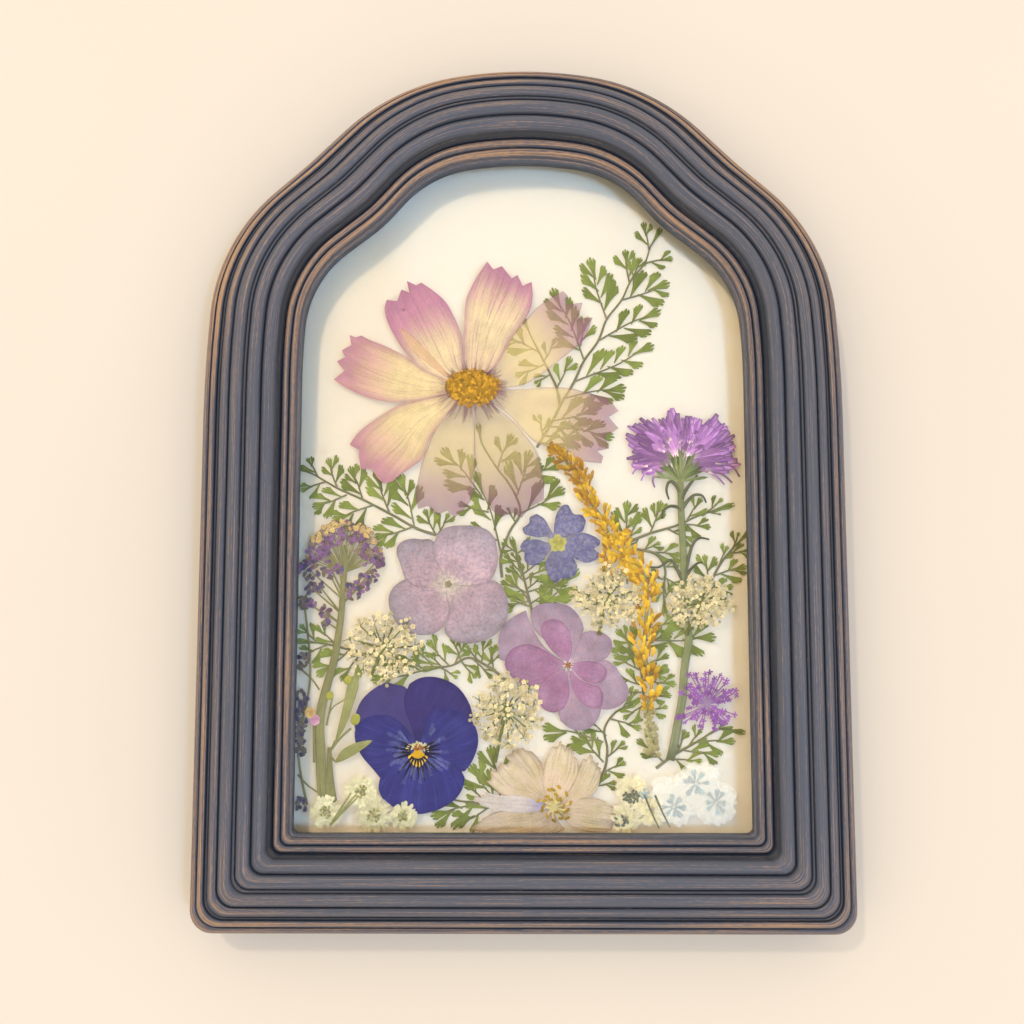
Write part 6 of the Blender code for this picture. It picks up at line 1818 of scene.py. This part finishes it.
class PRESSED_OT_stage(bpy.types.Operator):
    """Set the pale floor, the soft lights and the camera"""
    bl_idname = "pressed.stage"
    bl_label = "Stage"

    def execute(self, context):
        settings = context.scene.pressed_stage
        bm = bmesh.new()
        bmesh.ops.create_grid(bm, x_segments=2, y_segments=2, size=settings.floor_size / 2)
        bmesh.ops.translate(bm, verts=bm.verts, vec=(0, 0, -FLOOR_GAP))
        mesh = bpy.data.meshes.new("floor")
        bm.to_mesh(mesh)
        bm.free()
        made, tree, shader = finish("pale_floor", roughness=0.9, specular=0.2)
        place = add(tree, "TexCoord")
        cloud = add(tree, "TexNoise", {"Vector": place, "Scale": 9.0})
        tone = add(tree, "MapRange", {0: cloud, 3: 0.97, 4: 1.03})
        colour = add(
            tree, "Mix", {0: 1.0, 6: tuple(settings.floor), 7: tone}, blend_type="MULTIPLY")
        fill(tree, shader, {"Base Color": colour})
        mesh.materials.append(made)
        floor = bpy.data.objects.new("floor", mesh)
        context.scene.collection.objects.link(floor)

        studio_light("key", *KEY_LIGHT, settings.key)
        studio_light("cool_fill", *FILL_LIGHT, settings.fill)
        world = bpy.data.worlds.new("studio")
        world.use_nodes = True
        tree = world.node_tree
        # Pale walls all round, and a dark patch straight overhead.
        way = add(tree, "TexCoord", out=0)
        up = add(tree, "SeparateXYZ", (way,), out=2)
        glow = add(tree, "MapRange", (up, OVERHEAD_FROM, OVERHEAD_FULL, WALL_GLOW, OVERHEAD_GLOW),
                   interpolation_type="SMOOTHSTEP")
        fill(tree, tree.nodes["Background"], {"Color": "FFECD2", "Strength": glow})
        context.scene.world = world

        camera_data = bpy.data.cameras.new("camera")
        camera_data.sensor_width = 36.0
        camera_data.lens = FOCAL_PIXELS / IMAGE_PIXELS * camera_data.sensor_width
        camera_data.clip_start = 0.005
        camera = bpy.data.objects.new("camera", camera_data)
        turn = Vector(CAMERA_TURN)
        aim = Matrix.Rotation(turn.length, 4, turn.normalized())
        camera.matrix_world = Matrix.Translation(TO_ROW @ Vector(CAMERA_PLACE)) @ aim
        context.scene.collection.objects.link(camera)
        context.scene.camera = camera
        context.scene.view_settings.view_transform = "Standard"
        return {"FINISHED"}


# ---------------------------------------------------------------- panel and run

class PRESSED_PT_panel(bpy.types.Panel):
    bl_label = "Pressed Flower Frame"
    bl_idname = "PRESSED_PT_panel"
    bl_space_type = "VIEW_3D"
    bl_region_type = "UI"
    bl_category = "Pressed Flowers"

    def draw(self, context):
        for group in SETTINGS:
            box = self.layout.box()
            settings = getattr(context.scene, group)
            for name in settings.bl_rna.properties.keys():
                if name not in ("name", "rna_type"):
                    box.prop(settings, name)
        for operator in OPERATORS:
            self.layout.operator(operator.bl_idname)


SETTINGS = {"pressed_moulding": MouldingSettings, "pressed_sheet": SheetSettings,
            "pressed_specimens": SpecimenSettings, "pressed_stage": StageSettings}
OPERATORS = (
    PRESSED_OT_stage, PRESSED_OT_moulding, PRESSED_OT_glazing, PRESSED_OT_cosmos, PRESSED_OT_ferns,
    PRESSED_OT_hydrangea, PRESSED_OT_verbena, PRESSED_OT_viola, PRESSED_OT_double_floret,
    PRESSED_OT_larkspur, PRESSED_OT_aster, PRESSED_OT_goldenrod, PRESSED_OT_umbels,
    PRESSED_OT_purple_umbel, PRESSED_OT_statice, PRESSED_OT_clusters, PRESSED_OT_leaf_sprig)


def register():
    for kind in (*SETTINGS.values(), *OPERATORS, PRESSED_PT_panel):
        bpy.utils.register_class(kind)
    for name, kind in SETTINGS.items():
        setattr(bpy.types.Scene, name, PointerProperty(type=kind))


def unregister():
    for name in SETTINGS:
        delattr(bpy.types.Scene, name)
    for kind in reversed((*SETTINGS.values(), *OPERATORS, PRESSED_PT_panel)):
        bpy.utils.unregister_class(kind)


def main():
    register()
    for operator in OPERATORS:
        module, _, name = operator.bl_idname.partition(".")
        getattr(getattr(bpy.ops, module), name)()


if __name__ == "__main__":
    main()
